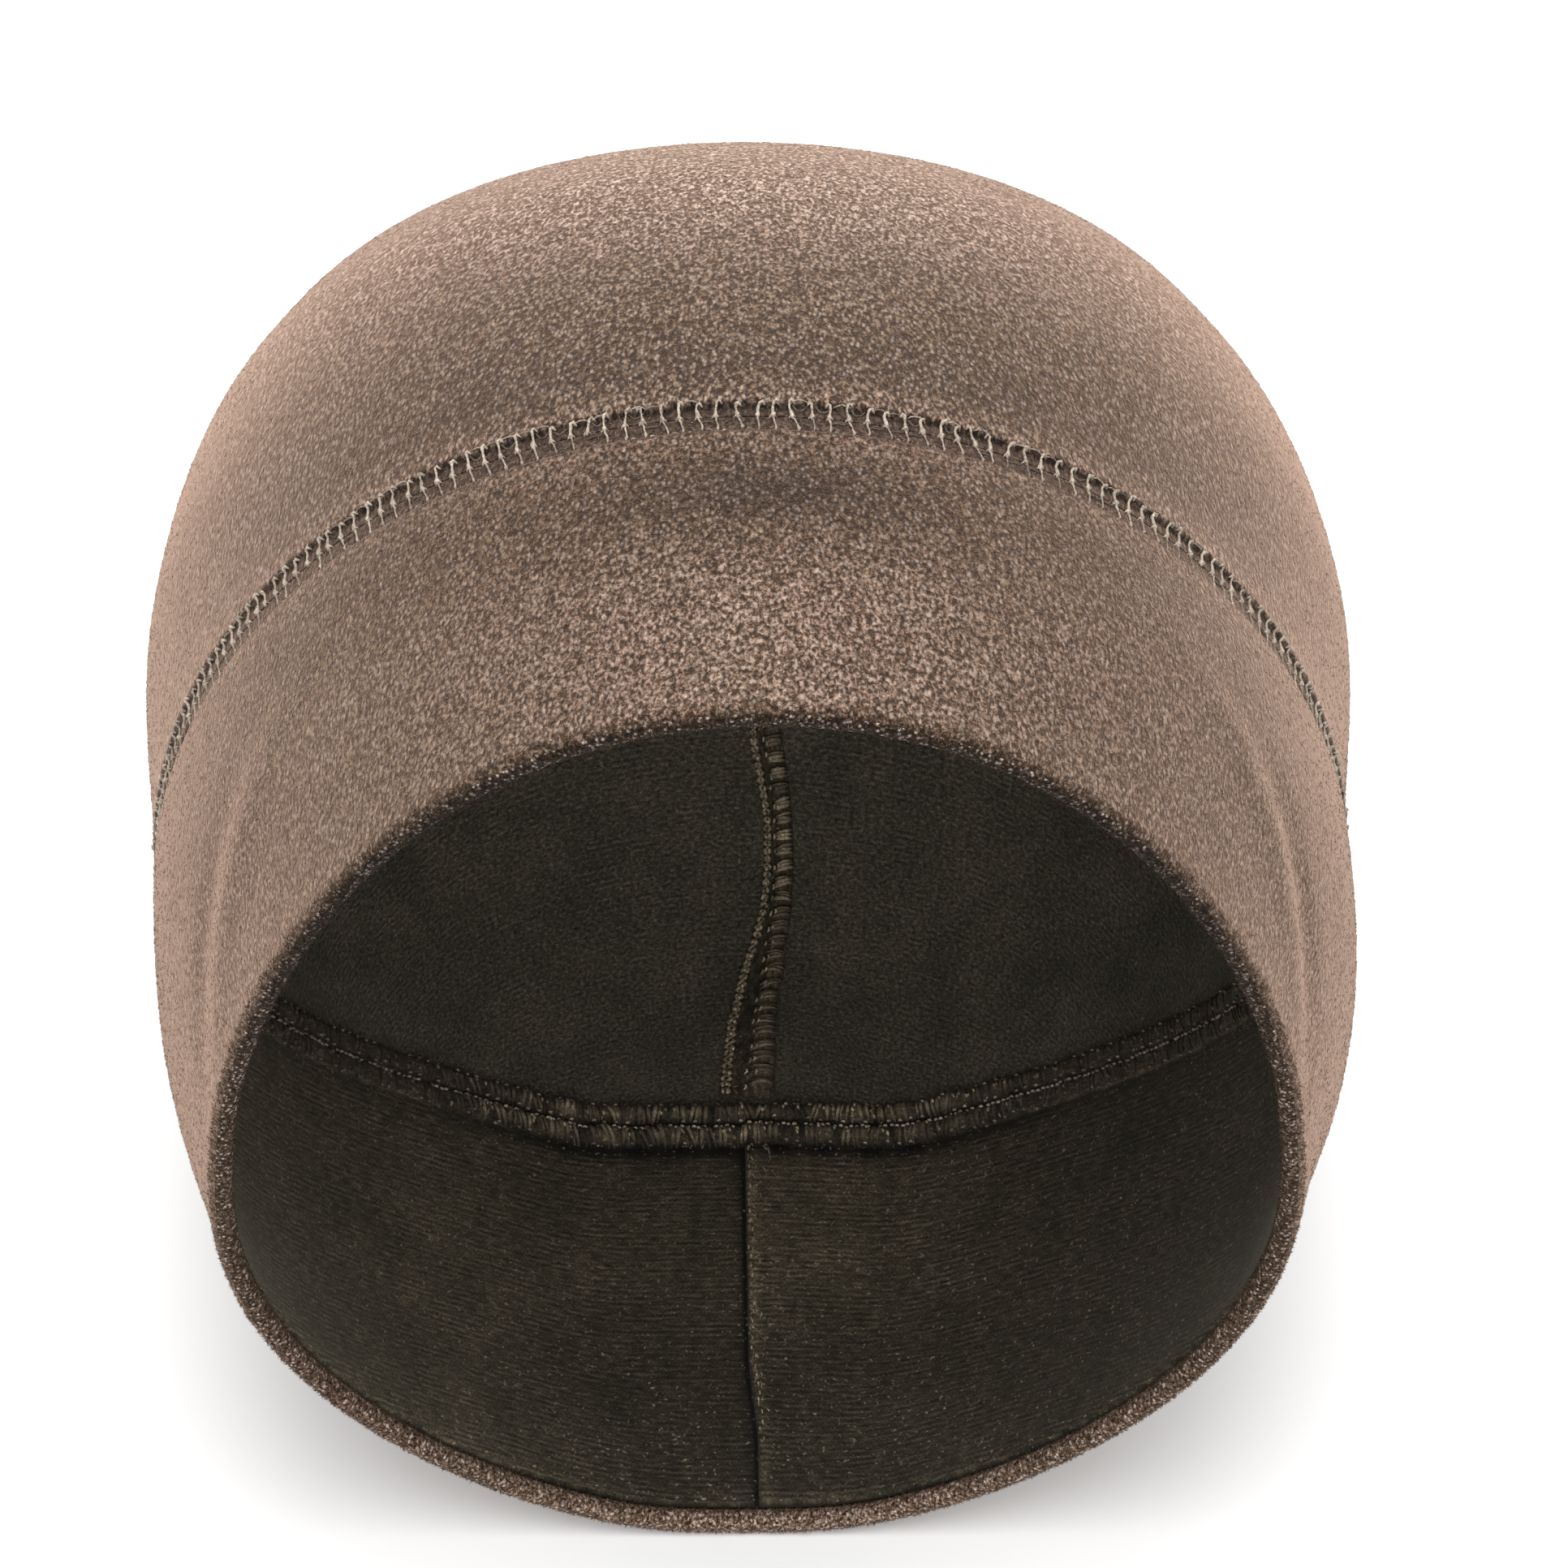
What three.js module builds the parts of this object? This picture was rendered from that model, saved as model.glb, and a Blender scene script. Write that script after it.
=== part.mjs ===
// A skull cap of micro-fleece with a jersey lining. It is cut as a crown and a band, joined by a ring
// seam. The cap is shaped as it is worn, rim down and front towards -Y, and then laid on its back, with
// its front up. Lengths are millimetres and angles are degrees, unless a name says otherwise.
import * as THREE from "three";
import { mergeVertices } from "three/addons/utils/BufferGeometryUtils.js";

// Size of the outside, as worn.
const crownHeight = 176; // rim to top
const halfWidth = 91; // middle to the side, at the widest
const frontReach = 112; // middle to the front, at the rim
const backReach = 93; // middle to the back, at its fullest

// Height of the ring seam above the rim. The band is cut deeper at the back.
const bandFront = 58;
const bandBack = 78;
const bandRiseStart = 78; // turn from the front where the seam starts to climb
const bandRiseEnd = 155; // turn from the front where it is level again

// Cloth and the clearances between its layers.
const shellWall = 1.8; // micro-fleece
const liningWall = 1.2; // jersey
const layerGap = 0.3; // shell to lining
const seamGap = 0.3; // piece to piece along a seam
const liningTop = shellWall + layerGap;
const liningInside = liningTop + liningWall;

// The rolled hem, a round bead at the rim.
const hemRadius = 1.65;

// The channel that the ladder stitches press into the outside, along the ring seam.
const channelHalfWidth = 3.0;
const channelDepth = 0.5;

// The overlocked allowance of the ring seam: two ridges with a valley between.
const ringRidgeHalfWidth = 5.3;
const ringRidgeHeight = 1.9;

// The overlocked allowance of the crown seam, from the ring seam over the top.
const crownRidgeHalfWidth = 2.4;
const crownRidgeHeight = 1.6;
const crownRidgeFlare = 1.4; // how much wider it is at its foot, on each side
const flareShare = 0.45; // share of the way to the top over which it narrows
const crownRidgePastTop = 26; // how far it runs on in front of the top

// The lapped join of the lining at the centre back: a step that fades out to the right.
const lapStep = 1.1;
const lapPlace = -1.5; // right of the middle
const lapFade = 22;
const lapRiser = 0.1; // how far the step takes to rise

// How it lies: leaning back by this angle, with the rim pressed into the floor by this much.
const leanBack = 3.5;
const rimPress = 0.6;
const pressBlend = 2.0; // half height of the soft edge of the pressed patch

// Facets.
const columns = 60;
const crownRows = 9;
const topCrowding = 1.4; // above 1, the crown's rows crowd towards the top
const bandRows = 6;
const hemSteps = 8;
const planStep = 0.002; // step on the plan for slopes

// Sections from the rim to the top. rise is a share of crownHeight, width and sway of halfWidth, front of
// frontReach and back of backReach. sway shifts the front to the right.
const sections = [
  { rise: 0.0, width: 0.832, front: 1.0, back: 0.914, sway: 0.029 },
  { rise: 0.18, width: 0.936, front: 0.961, back: 0.962, sway: 0.034 },
  { rise: 0.37, width: 0.963, front: 0.915, back: 0.998, sway: 0.012 },
  { rise: 0.57, width: 0.995, front: 0.826, back: 1.0, sway: 0.01 },
  { rise: 0.77, width: 0.915, front: 0.672, back: 0.882, sway: 0.0 },
  { rise: 0.93, width: 0.692, front: 0.43, back: 0.591, sway: 0.0 },
  { rise: 1.0, width: 0.0, front: 0.0, back: 0.0, sway: 0.0 },
];

// How square the plan is: 0 is an ellipse, more is squarer and less is more pointed.
const fullness = { front: 0.0, back: -0.05, top: 0.02 };

// Soft folds near the rim, pushed in where depth is positive. turn and spread are degrees, rise and tall
// are shares of crownHeight, slant is degrees for each crownHeight, and depth is a share of halfWidth.
const folds = [
  { turn: 66, spread: 3.4, rise: 0.09, tall: 0.07, slant: -160, depth: 0.009 },
  { turn: 58, spread: 3.6, rise: 0.1, tall: 0.08, slant: -160, depth: -0.006 },
  { turn: -69, spread: 3.4, rise: 0.1, tall: 0.07, slant: 130, depth: 0.008 },
  { turn: -62, spread: 3.6, rise: 0.1, tall: 0.09, slant: 130, depth: -0.006 },
  { turn: 94, spread: 9, rise: 0.07, tall: 0.035, slant: 0, depth: 0.009 },
  { turn: -92, spread: 9, rise: 0.05, tall: 0.03, slant: 0, depth: 0.007 },
];

// The crown seam wanders to the right as it climbs. at is a share of its way to the top, right a share of
// halfWidth.
const crownSeamWander = [
  { at: 0.0, right: 0.008 },
  { at: 0.25, right: 0.03 },
  { at: 0.5, right: 0.044 },
  { at: 0.75, right: 0.034 },
  { at: 1.0, right: 0.022 },
];

const radians = THREE.MathUtils.degToRad;
const { lerp, smoothstep, clamp } = THREE.MathUtils;

// A smooth curve through a table's column. at runs from 0 at the first row to 1 at the last. Past the last
// row the column is mirrored: endSign -1 carries it on through zero, and 1 turns it back.
function tableCurve(table, column, at, endSign) {
  const last = table.length - 1;
  const place = at * last;
  const row = clamp(Math.floor(place), 0, last - 1);
  const value = (index) => {
    if (index < 0) return 2 * table[0][column] - table[1][column];
    if (index > last) return endSign * table[2 * last - index][column];
    return table[index][column];
  };
  const [before, here, next, after] = [-1, 0, 1, 2].map((step) => value(row + step));
  const part = place - row;
  const bend = 2 * before - 5 * here + 4 * next - after + part * (3 * (here - next) + after - before);
  return here + 0.5 * part * (next - before + part * bend);
}

// Depth of the soft folds at a turn in degrees and a height.
function foldDepth(turn, height) {
  let depth = 0;
  for (const fold of folds) {
    const rise = height / crownHeight - fold.rise;
    const across = (turn - fold.turn - fold.slant * rise) / fold.spread;
    const up = rise / fold.tall;
    depth += fold.depth * halfWidth * Math.exp(-across * across - up * up);
  }
  return depth;
}

// A point of the outside as worn. The plan is a disc: its edge is the rim, its middle is the top, right is
// +X and forward is -Y, so a path can cross the top without a break.
function outside(planX, planY) {
  const fromTop = Math.hypot(planX, planY);
  const climb = 1 - fromTop;
  const side = fromTop > 0 ? planX / fromTop : 0;
  const ahead = fromTop > 0 ? -planY / fromTop : 0;
  const towardsFront = (1 + ahead) / 2;
  const width = tableCurve(sections, "width", climb, -1) * halfWidth;
  const front = tableCurve(sections, "front", climb, -1) * frontReach;
  const back = tableCurve(sections, "back", climb, -1) * backReach;
  const sway = tableCurve(sections, "sway", climb, 1) * halfWidth;
  const height = tableCurve(sections, "rise", climb, 1) * crownHeight;
  const squareness = lerp(lerp(fullness.back, fullness.front, towardsFront), fullness.top, climb);
  const reach = ahead >= 0 ? front : back;
  const push = 1 - foldDepth(THREE.MathUtils.radToDeg(Math.atan2(side, ahead)), height) / halfWidth;
  return new THREE.Vector3(
    width * side * (1 + squareness * ahead * ahead) * push + sway * towardsFront,
    -reach * ahead * (1 + squareness * side * side) * push,
    height,
  );
}

// Outward normal of the outside at a place of the plan.
function outwardNormal(planX, planY) {
  const right = outside(planX + planStep, planY).sub(outside(planX - planStep, planY));
  const rearward = outside(planX, planY + planStep).sub(outside(planX, planY - planStep));
  return right.cross(rearward).normalize();
}

// Height above the floor, flattened where the cap presses on it: a ramp with a short round foot.
function pressed(height) {
  if (height <= -pressBlend) return 0;
  if (height < pressBlend) return (height + pressBlend) ** 2 / (4 * pressBlend);
  return height;
}

// Turns a point as worn to where it lies, and flattens it. Inner layers stack on the outer one by their
// depth.
function lay(point, depth) {
  const lean = radians(leanBack);
  const floorReach = sections[0].back * backReach - rimPress;
  const fromFloor = (floorReach - point.y) * Math.cos(lean) + point.z * Math.sin(lean);
  const alongFloor = point.y * Math.sin(lean) + point.z * Math.cos(lean);
  return new THREE.Vector3(point.x, alongFloor, depth + pressed(fromFloor - depth));
}

// A point at some depth below the outside, where it lies.
function skinOnPlan(planX, planY, depth) {
  return lay(outside(planX, planY).addScaledVector(outwardNormal(planX, planY), -depth), depth);
}

// The same, by the turn from the front in radians and the climb from 0 at the rim to 1 at the top.
function skin(turn, climb, depth) {
  return skinOnPlan((1 - climb) * Math.sin(turn), -(1 - climb) * Math.cos(turn), depth);
}

// Millimetres along the outside for each unit of climb.
function climbLength(turn, climb) {
  return skin(turn, climb + planStep, 0).distanceTo(skin(turn, climb - planStep, 0)) / (2 * planStep);
}

// The climb at some millimetres further up the outside.
function climbBy(turn, climb, millimetres) {
  return climb + millimetres / climbLength(turn, climb);
}

// The climb of the ring seam, where the rise reaches the band's height.
function ringSeamClimb(turn) {
  const fromFront = THREE.MathUtils.radToDeg(Math.acos(Math.cos(turn)));
  const height = lerp(bandFront, bandBack, smoothstep(fromFront, bandRiseStart, bandRiseEnd));
  let [low, high] = [0, 1];
  for (let step = 0; step < 30; step++) {
    const middle = (low + high) / 2;
    if (tableCurve(sections, "rise", middle, 1) * crownHeight < height) low = middle;
    else high = middle;
  }
  return (low + high) / 2;
}

// Evenly spaced turns around the cap, from the front.
const turns = Array.from({ length: columns }, (unused, column) => (column * 2 * Math.PI) / columns);

// Shares from 0 to 1 in equal steps, both ends in.
const shares = (steps) => Array.from({ length: steps + 1 }, (unused, step) => step / steps);

// A closed body through a row of sections of equal length, each a closed loop of points that runs down the
// outer face and back up the inner one. A ring joins its last section to its first, and a strip gets flat
// ends. Inner faces are cut along the other diagonal, so that the facets of two layers lie parallel.
function loftedBody(loops, { ring, firstInner }) {
  const size = loops[0].length;
  const index = [];
  const addTriangle = (...corners) => index.push(...corners);
  const bays = ring ? loops.length : loops.length - 1;
  for (let bay = 0; bay < bays; bay++) {
    const here = bay * size;
    const next = ((bay + 1) % loops.length) * size;
    for (let corner = 0; corner < size; corner++) {
      const along = (corner + 1) % size;
      if (corner < firstInner) {
        addTriangle(here + corner, next + along, next + corner);
        addTriangle(here + corner, here + along, next + along);
      } else {
        addTriangle(here + corner, here + along, next + corner);
        addTriangle(here + along, next + along, next + corner);
      }
    }
  }
  if (!ring) {
    const farEnd = (loops.length - 1) * size;
    for (let corner = 1; corner < size - 1; corner++) {
      addTriangle(0, corner + 1, corner);
      addTriangle(farEnd, farEnd + corner, farEnd + corner + 1);
    }
  }
  const geometry = new THREE.BufferGeometry().setFromPoints(loops.flat());
  geometry.setIndex(index);
  return withoutCollapsed(mergeVertices(geometry, 1e-4));
}

// Drops the triangles that merging has closed up.
function withoutCollapsed(geometry) {
  const corners = geometry.index.array;
  const kept = [];
  for (let start = 0; start < corners.length; start += 3) {
    const [a, b, c] = corners.slice(start, start + 3);
    if (a !== b && b !== c && c !== a) kept.push(a, b, c);
  }
  geometry.setIndex(kept);
  geometry.computeVertexNormals();
  return geometry;
}

// Places inside the stitched channel, from near its edge to the seam: how far from the seam, and how deep.
const channelProfile = [
  { away: channelHalfWidth * 0.6, depth: channelDepth * 0.7 },
  { away: seamGap / 2, depth: channelDepth },
];

// Climbs down the crown that both of its layers share, from the top to the channel's edge and the seam.
function crownClimbs(turn) {
  const seam = ringSeamClimb(turn);
  const edge = climbBy(turn, seam, channelHalfWidth);
  const dome = shares(crownRows).map((share) => lerp(1, edge, share ** topCrowding));
  return [...dome, climbBy(turn, seam, seamGap / 2)];
}

// Climbs down the band that both of its layers share, from the seam and the channel's edge to the lining's
// foot.
function bandClimbs(turn) {
  const seam = ringSeamClimb(turn);
  const edge = climbBy(turn, seam, -channelHalfWidth);
  const foot = climbBy(turn, 0, 2 * hemRadius + seamGap);
  return [climbBy(turn, seam, -seamGap / 2), ...shares(bandRows).map((share) => lerp(edge, foot, share))];
}

// Points across the channel, between its edge and the seam. side is 1 on the crown and -1 on the band.
function channelPoints(turn, side) {
  const seam = ringSeamClimb(turn);
  return channelProfile.map(({ away, depth }) => skin(turn, climbBy(turn, seam, side * away), depth));
}

// Crown above the ring seam: an outer and an inner dome, joined by an edge in the channel.
function crownShell() {
  const loops = turns.map((turn) => {
    const climbs = crownClimbs(turn);
    const outer = climbs.slice(0, -1).map((climb) => skin(turn, climb, 0));
    const inner = climbs.map((climb) => skin(turn, climb, shellWall)).reverse();
    return [...outer, ...channelPoints(turn, 1), ...inner];
  });
  return loftedBody(loops, { ring: true, firstInner: loops[0].length - crownRows - 2 });
}

// Band below the ring seam: a wall that swells into the round bead of the hem at the rim.
function bandShell() {
  const wallOffCentre = hemRadius - shellWall;
  const beadTop = hemRadius + Math.sqrt(hemRadius ** 2 - wallOffCentre ** 2);
  const beadEnd = 2.5 * Math.PI - Math.asin(wallOffCentre / hemRadius);
  const loops = turns.map((turn) => {
    const climbs = bandClimbs(turn);
    const outer = climbs.slice(1).map((climb) => skin(turn, climb, 0));
    const bead = shares(hemSteps).map((share) => {
      const angle = lerp(Math.PI, beadEnd, share);
      const height = hemRadius + hemRadius * Math.sin(angle);
      return skin(turn, climbBy(turn, 0, height), hemRadius + hemRadius * Math.cos(angle));
    });
    const inner = climbs.map((climb) => skin(turn, climb, shellWall)).reverse();
    return [...channelPoints(turn, -1).reverse(), ...outer, ...bead, ...inner];
  });
  return loftedBody(loops, { ring: true, firstInner: loops[0].length - bandRows - 2 });
}

// Jersey dome inside the crown.
function crownLining() {
  const loops = turns.map((turn) => {
    const climbs = crownClimbs(turn);
    const outer = climbs.map((climb) => skin(turn, climb, liningTop));
    const inner = climbs.map((climb) => skin(turn, climb, liningInside)).reverse();
    return [...outer, ...inner];
  });
  return loftedBody(loops, { ring: true, firstInner: crownRows + 2 });
}

// Turn of a place at the back, by its distance to the right of the middle.
const turnAtBack = (right) => Math.PI - Math.asin(right / halfWidth);

// Thickness that the lapped layer adds inside the lining, by the distance to the right of the step.
function lapThickness(turn) {
  const fromStep = (turnAtBack(lapPlace + lapRiser / 2) - turn) * halfWidth;
  return fromStep < 0 ? 0 : lapStep * Math.max(0, 1 - fromStep / lapFade);
}

// Jersey band inside, from above the hem's bead to the ring seam, with its lap at the centre back.
function bandLining() {
  const lapTurns = [lapPlace, lapPlace + lapRiser].map(turnAtBack);
  const loops = [...turns, ...lapTurns]
    .sort((one, other) => one - other)
    .map((turn) => {
      const climbs = bandClimbs(turn);
      const outer = climbs.map((climb) => skin(turn, climb, liningTop));
      const inner = climbs.map((climb) => skin(turn, climb, liningInside + lapThickness(turn))).reverse();
      return [...outer, ...inner];
    });
  return loftedBody(loops, { ring: true, firstInner: bandRows + 2 });
}

// Outline of the ring seam's allowance: across the seam as a share of its half width, and its height as a
// share.
const ringRidgeOutline = [
  { across: -1.0, height: 0 },
  { across: -0.95, height: 0.55 },
  { across: -0.68, height: 1 },
  { across: -0.4, height: 0.95 },
  { across: 0, height: 0.45 },
  { across: 0.4, height: 0.95 },
  { across: 0.68, height: 1 },
  { across: 0.95, height: 0.55 },
  { across: 1.0, height: 0 },
];

// Overlocked allowance of the ring seam, folded flat on the lining.
function ringSeamAllowance() {
  const loops = turns.map((turn) => {
    const seam = ringSeamClimb(turn);
    const foot = liningInside + lapThickness(turn) + seamGap;
    return ringRidgeOutline.map(({ across, height }) => {
      const climb = climbBy(turn, seam, across * ringRidgeHalfWidth);
      return skin(turn, climb, foot + height * ringRidgeHeight);
    });
  });
  return loftedBody(loops, { ring: true, firstInner: 0 });
}

// Outline of the crown seam's allowance, as shares of its half width and height.
const crownRidgeOutline = [
  { side: -1.0, height: 0 },
  { side: -0.85, height: 0.7 },
  { side: -0.3, height: 1 },
  { side: 0.3, height: 1 },
  { side: 0.85, height: 0.7 },
  { side: 1.0, height: 0 },
];

// Overlocked allowance of the crown seam, from above the ring seam's allowance at the back over the top.
// It turns where the lining's rows do, so that it lies along their facets.
function crownSeamAllowance() {
  const foot = 1 - climbBy(Math.PI, ringSeamClimb(Math.PI), ringRidgeHalfWidth + seamGap);
  const rows = crownClimbs(Math.PI).map((climb) => 1 - climb);
  const planPerMillimetre = planStep / outside(0, -planStep).distanceTo(outside(0, 0));
  const pastTop = crownRidgePastTop * planPerMillimetre;
  const rising = rows.filter((planY) => planY < foot).reverse();
  const falling = rows.filter((planY) => planY > 0 && planY < pastTop).map((planY) => -planY);
  const loops = [foot, ...rising, ...falling, -pastTop].map((planY) => {
    const way = clamp(1 - planY / foot, 0, 1);
    const flare = crownRidgeFlare * Math.max(0, 1 - way / flareShare) ** 2;
    const middle = tableCurve(crownSeamWander, "right", way, 1) * halfWidth;
    const planPerMillimetreAcross = planStep / outside(planStep, planY).distanceTo(outside(0, planY));
    return crownRidgeOutline.map(({ side, height }) => {
      const right = middle + side * (crownRidgeHalfWidth + flare);
      const depth = liningInside + seamGap + height * crownRidgeHeight;
      return skinOnPlan(right * planPerMillimetreAcross, planY, depth);
    });
  });
  return loftedBody(loops, { ring: false, firstInner: 0 });
}

// A named piece in its own finish.
function piece(name, geometry, color, roughness) {
  const material = new THREE.MeshStandardMaterial({ color, roughness, metalness: 0 });
  const mesh = new THREE.Mesh(geometry, material);
  mesh.name = name;
  return mesh;
}

const fleece = 0x8a7468;
const jersey = 0x3a3630;
const thread = 0x4a443c;

const cap = new THREE.Group();
cap.add(
  piece("crown_shell", crownShell(), fleece, 0.95),
  piece("band_shell", bandShell(), fleece, 0.95),
  piece("crown_lining", crownLining(), jersey, 0.9),
  piece("band_lining", bandLining(), jersey, 0.9),
  piece("ring_seam_allowance", ringSeamAllowance(), thread, 0.9),
  piece("crown_seam_allowance", crownSeamAllowance(), thread, 0.9),
);

// The origin is on the floor, under the middle of the cap's box.
const middle = new THREE.Box3().setFromObject(cap).getCenter(new THREE.Vector3());
cap.position.set(-middle.x, -middle.y, 0);

export default cap;
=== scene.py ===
import math

import bmesh
import bpy
import numpy as np
from mathutils import Matrix, Vector


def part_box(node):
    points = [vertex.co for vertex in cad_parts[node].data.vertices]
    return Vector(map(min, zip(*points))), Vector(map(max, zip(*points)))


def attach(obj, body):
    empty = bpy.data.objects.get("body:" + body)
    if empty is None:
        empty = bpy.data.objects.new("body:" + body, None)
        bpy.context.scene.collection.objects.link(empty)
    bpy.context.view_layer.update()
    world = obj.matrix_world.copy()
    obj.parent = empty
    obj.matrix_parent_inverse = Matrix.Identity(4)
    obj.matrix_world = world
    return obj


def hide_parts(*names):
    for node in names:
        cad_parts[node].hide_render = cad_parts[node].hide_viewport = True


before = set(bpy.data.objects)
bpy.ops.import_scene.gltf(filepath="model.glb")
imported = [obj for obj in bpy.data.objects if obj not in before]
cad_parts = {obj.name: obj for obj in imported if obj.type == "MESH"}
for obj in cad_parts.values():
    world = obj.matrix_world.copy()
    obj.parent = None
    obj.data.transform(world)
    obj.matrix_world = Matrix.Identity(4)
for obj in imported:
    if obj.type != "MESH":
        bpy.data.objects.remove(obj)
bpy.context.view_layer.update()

METRES = 0.001  # for each millimetre

# Size of the outside, as worn.
CROWN_HEIGHT = 176.0
HALF_WIDTH = 91.0
FRONT_REACH = 112.0
BACK_REACH = 93.0

# Height of the ring seam above the rim, and the turns in degrees between which it climbs to the back.
BAND_FRONT = 58.0
BAND_BACK = 78.0
BAND_RISE_START = 78.0
BAND_RISE_END = 155.0

# Cloth and the clearances between its layers.
SHELL_WALL = 1.8
LINING_WALL = 1.2
LAYER_GAP = 0.3
SEAM_GAP = 0.3
LINING_TOP = SHELL_WALL + LAYER_GAP
LINING_INSIDE = LINING_TOP + LINING_WALL

HEM_RADIUS = 1.65

# The lapped join of the band's lining: its step, its place to the right of the middle, and its fade.
LAP_STEP = 1.1
LAP_PLACE = -0.2
LAP_FADE = 22.0
LAP_RISER = 0.25
LAP_LEAN = 0.012  # to the right for each millimetre towards the hem
LAP_KICK = 1.7  # further to the right in the last stretch before the hem

# The overlocked seam allowances inside. The crown seam's is wider at its foot, on each side.
RING_RIDGE_HALF_WIDTH = 5.3
RING_RIDGE_HEIGHT = 1.9
CROWN_RIDGE_HALF_WIDTH = 2.4
CROWN_RIDGE_FLARE = 1.4
FLARE_SHARE = 0.45
CROWN_RIDGE_PAST_TOP = 26.0

# How it lies: leaning back, with the rim pressed into the floor.
LEAN_BACK = math.radians(3.5)
RIM_PRESS = 0.6
PRESS_BLEND = 2.0

# A small step over the plan, for slopes and for lengths along the cloth.
PLAN_STEP = 0.002

# Sections from the rim to the top, as shares of the sizes above. sway shifts the front to the right.
SECTIONS = [
    dict(rise=0.0, width=0.832, front=1.0, back=0.914, sway=0.029),
    dict(rise=0.18, width=0.936, front=0.961, back=0.962, sway=0.034),
    dict(rise=0.37, width=0.963, front=0.915, back=0.998, sway=0.012),
    dict(rise=0.57, width=0.995, front=0.826, back=1.0, sway=0.01),
    dict(rise=0.77, width=0.915, front=0.672, back=0.882, sway=0.0),
    dict(rise=0.93, width=0.692, front=0.43, back=0.591, sway=0.0),
    dict(rise=1.0, width=0.0, front=0.0, back=0.0, sway=0.0),
]

# How square the plan is at the front, the back and the top.
FULLNESS = dict(front=0.0, back=-0.05, top=0.02)

# Soft folds near the rim, pushed in where depth is positive. turn and spread are degrees, slant is degrees
# for each crown height, and the others are shares.
FOLDS = [
    dict(turn=66, spread=3.4, rise=0.09, tall=0.07, slant=-160, depth=0.009),
    dict(turn=58, spread=3.6, rise=0.1, tall=0.08, slant=-160, depth=-0.006),
    dict(turn=-69, spread=3.4, rise=0.1, tall=0.07, slant=130, depth=0.008),
    dict(turn=-62, spread=3.6, rise=0.1, tall=0.09, slant=130, depth=-0.006),
    dict(turn=94, spread=9, rise=0.07, tall=0.035, slant=0, depth=0.009),
    dict(turn=-92, spread=9, rise=0.05, tall=0.03, slant=0, depth=0.007),
]

# The crown seam wanders to the right as it climbs. at is a share of its way to the top.
CROWN_SEAM_WANDER = [
    dict(at=0.0, right=0.008),
    dict(at=0.25, right=0.03),
    dict(at=0.5, right=0.044),
    dict(at=0.75, right=0.034),
    dict(at=1.0, right=0.022),
]


def lerp(low, high, share):
    return low + (high - low) * share


def smooth_step(value, low, high):
    share = np.clip((value - low) / (high - low), 0, 1)
    return share * share * (3 - 2 * share)


def bump(value, middle, spread):
    """A soft bump of height 1."""
    return np.exp(-(((value - middle) / spread) ** 2))


def table_curve(table, column, at, end_sign):
    """A smooth curve through a table's column. at runs from 0 at the first row to 1 at the last."""
    values = [row[column] for row in table]
    knots = np.array([2 * values[0] - values[1], *values, end_sign * values[-2]])
    last = len(values) - 1
    place = np.asarray(at, float) * last
    row = np.clip(np.floor(place), 0, last - 1).astype(int)
    before, here, following, after = (knots[row + step] for step in range(4))
    part = place - row
    bend = 2 * before - 5 * here + 4 * following - after + part * (3 * (here - following) + after - before)
    return here + 0.5 * part * (following - before + part * bend)


def fold_depth(turn_degrees, height):
    """How far the soft folds near the rim are pushed in."""
    depth = 0
    for fold in FOLDS:
        rise = height / CROWN_HEIGHT - fold["rise"]
        across = turn_degrees - fold["turn"] - fold["slant"] * rise
        softness = bump(across, 0, fold["spread"]) * bump(rise, 0, fold["tall"])
        depth = depth + fold["depth"] * HALF_WIDTH * softness
    return depth


def outside(plan_x, plan_y):
    """Points of the outside as worn. The plan is a disc: its edge is the rim and its middle is the top."""
    from_top = np.hypot(plan_x, plan_y)
    climb = 1 - from_top
    reach = np.maximum(from_top, 1e-12)
    side, ahead = plan_x / reach, -plan_y / reach
    towards_front = (1 + ahead) / 2
    width = table_curve(SECTIONS, "width", climb, -1) * HALF_WIDTH
    front = table_curve(SECTIONS, "front", climb, -1) * FRONT_REACH
    back = table_curve(SECTIONS, "back", climb, -1) * BACK_REACH
    sway = table_curve(SECTIONS, "sway", climb, 1) * HALF_WIDTH
    height = table_curve(SECTIONS, "rise", climb, 1) * CROWN_HEIGHT
    squareness = lerp(lerp(FULLNESS["back"], FULLNESS["front"], towards_front), FULLNESS["top"], climb)
    push = 1 - fold_depth(np.degrees(np.arctan2(side, ahead)), height) / HALF_WIDTH
    x = width * side * (1 + squareness * ahead**2) * push + sway * towards_front
    y = -np.where(ahead >= 0, front, back) * ahead * (1 + squareness * side**2) * push
    return np.stack([x, y, height], axis=-1)


def outward_normal(plan_x, plan_y):
    right = outside(plan_x + PLAN_STEP, plan_y) - outside(plan_x - PLAN_STEP, plan_y)
    rearward = outside(plan_x, plan_y + PLAN_STEP) - outside(plan_x, plan_y - PLAN_STEP)
    normal = np.cross(right, rearward)
    return normal / np.linalg.norm(normal, axis=-1, keepdims=True)


def pressed(height):
    """Height above the floor, flattened where the cap presses on it."""
    ramp = (height + PRESS_BLEND) ** 2 / (4 * PRESS_BLEND)
    return np.where(height <= -PRESS_BLEND, 0, np.where(height < PRESS_BLEND, ramp, height))


def lay(point, depth):
    """Turns points as worn to where they lie, with inner layers stacked on the outer one by their depth."""
    floor_reach = SECTIONS[0]["back"] * BACK_REACH - RIM_PRESS
    from_floor = (floor_reach - point[..., 1]) * math.cos(LEAN_BACK) + point[..., 2] * math.sin(LEAN_BACK)
    along_floor = point[..., 1] * math.sin(LEAN_BACK) + point[..., 2] * math.cos(LEAN_BACK)
    return np.stack([point[..., 0], along_floor, depth + pressed(from_floor - depth)], axis=-1)


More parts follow.
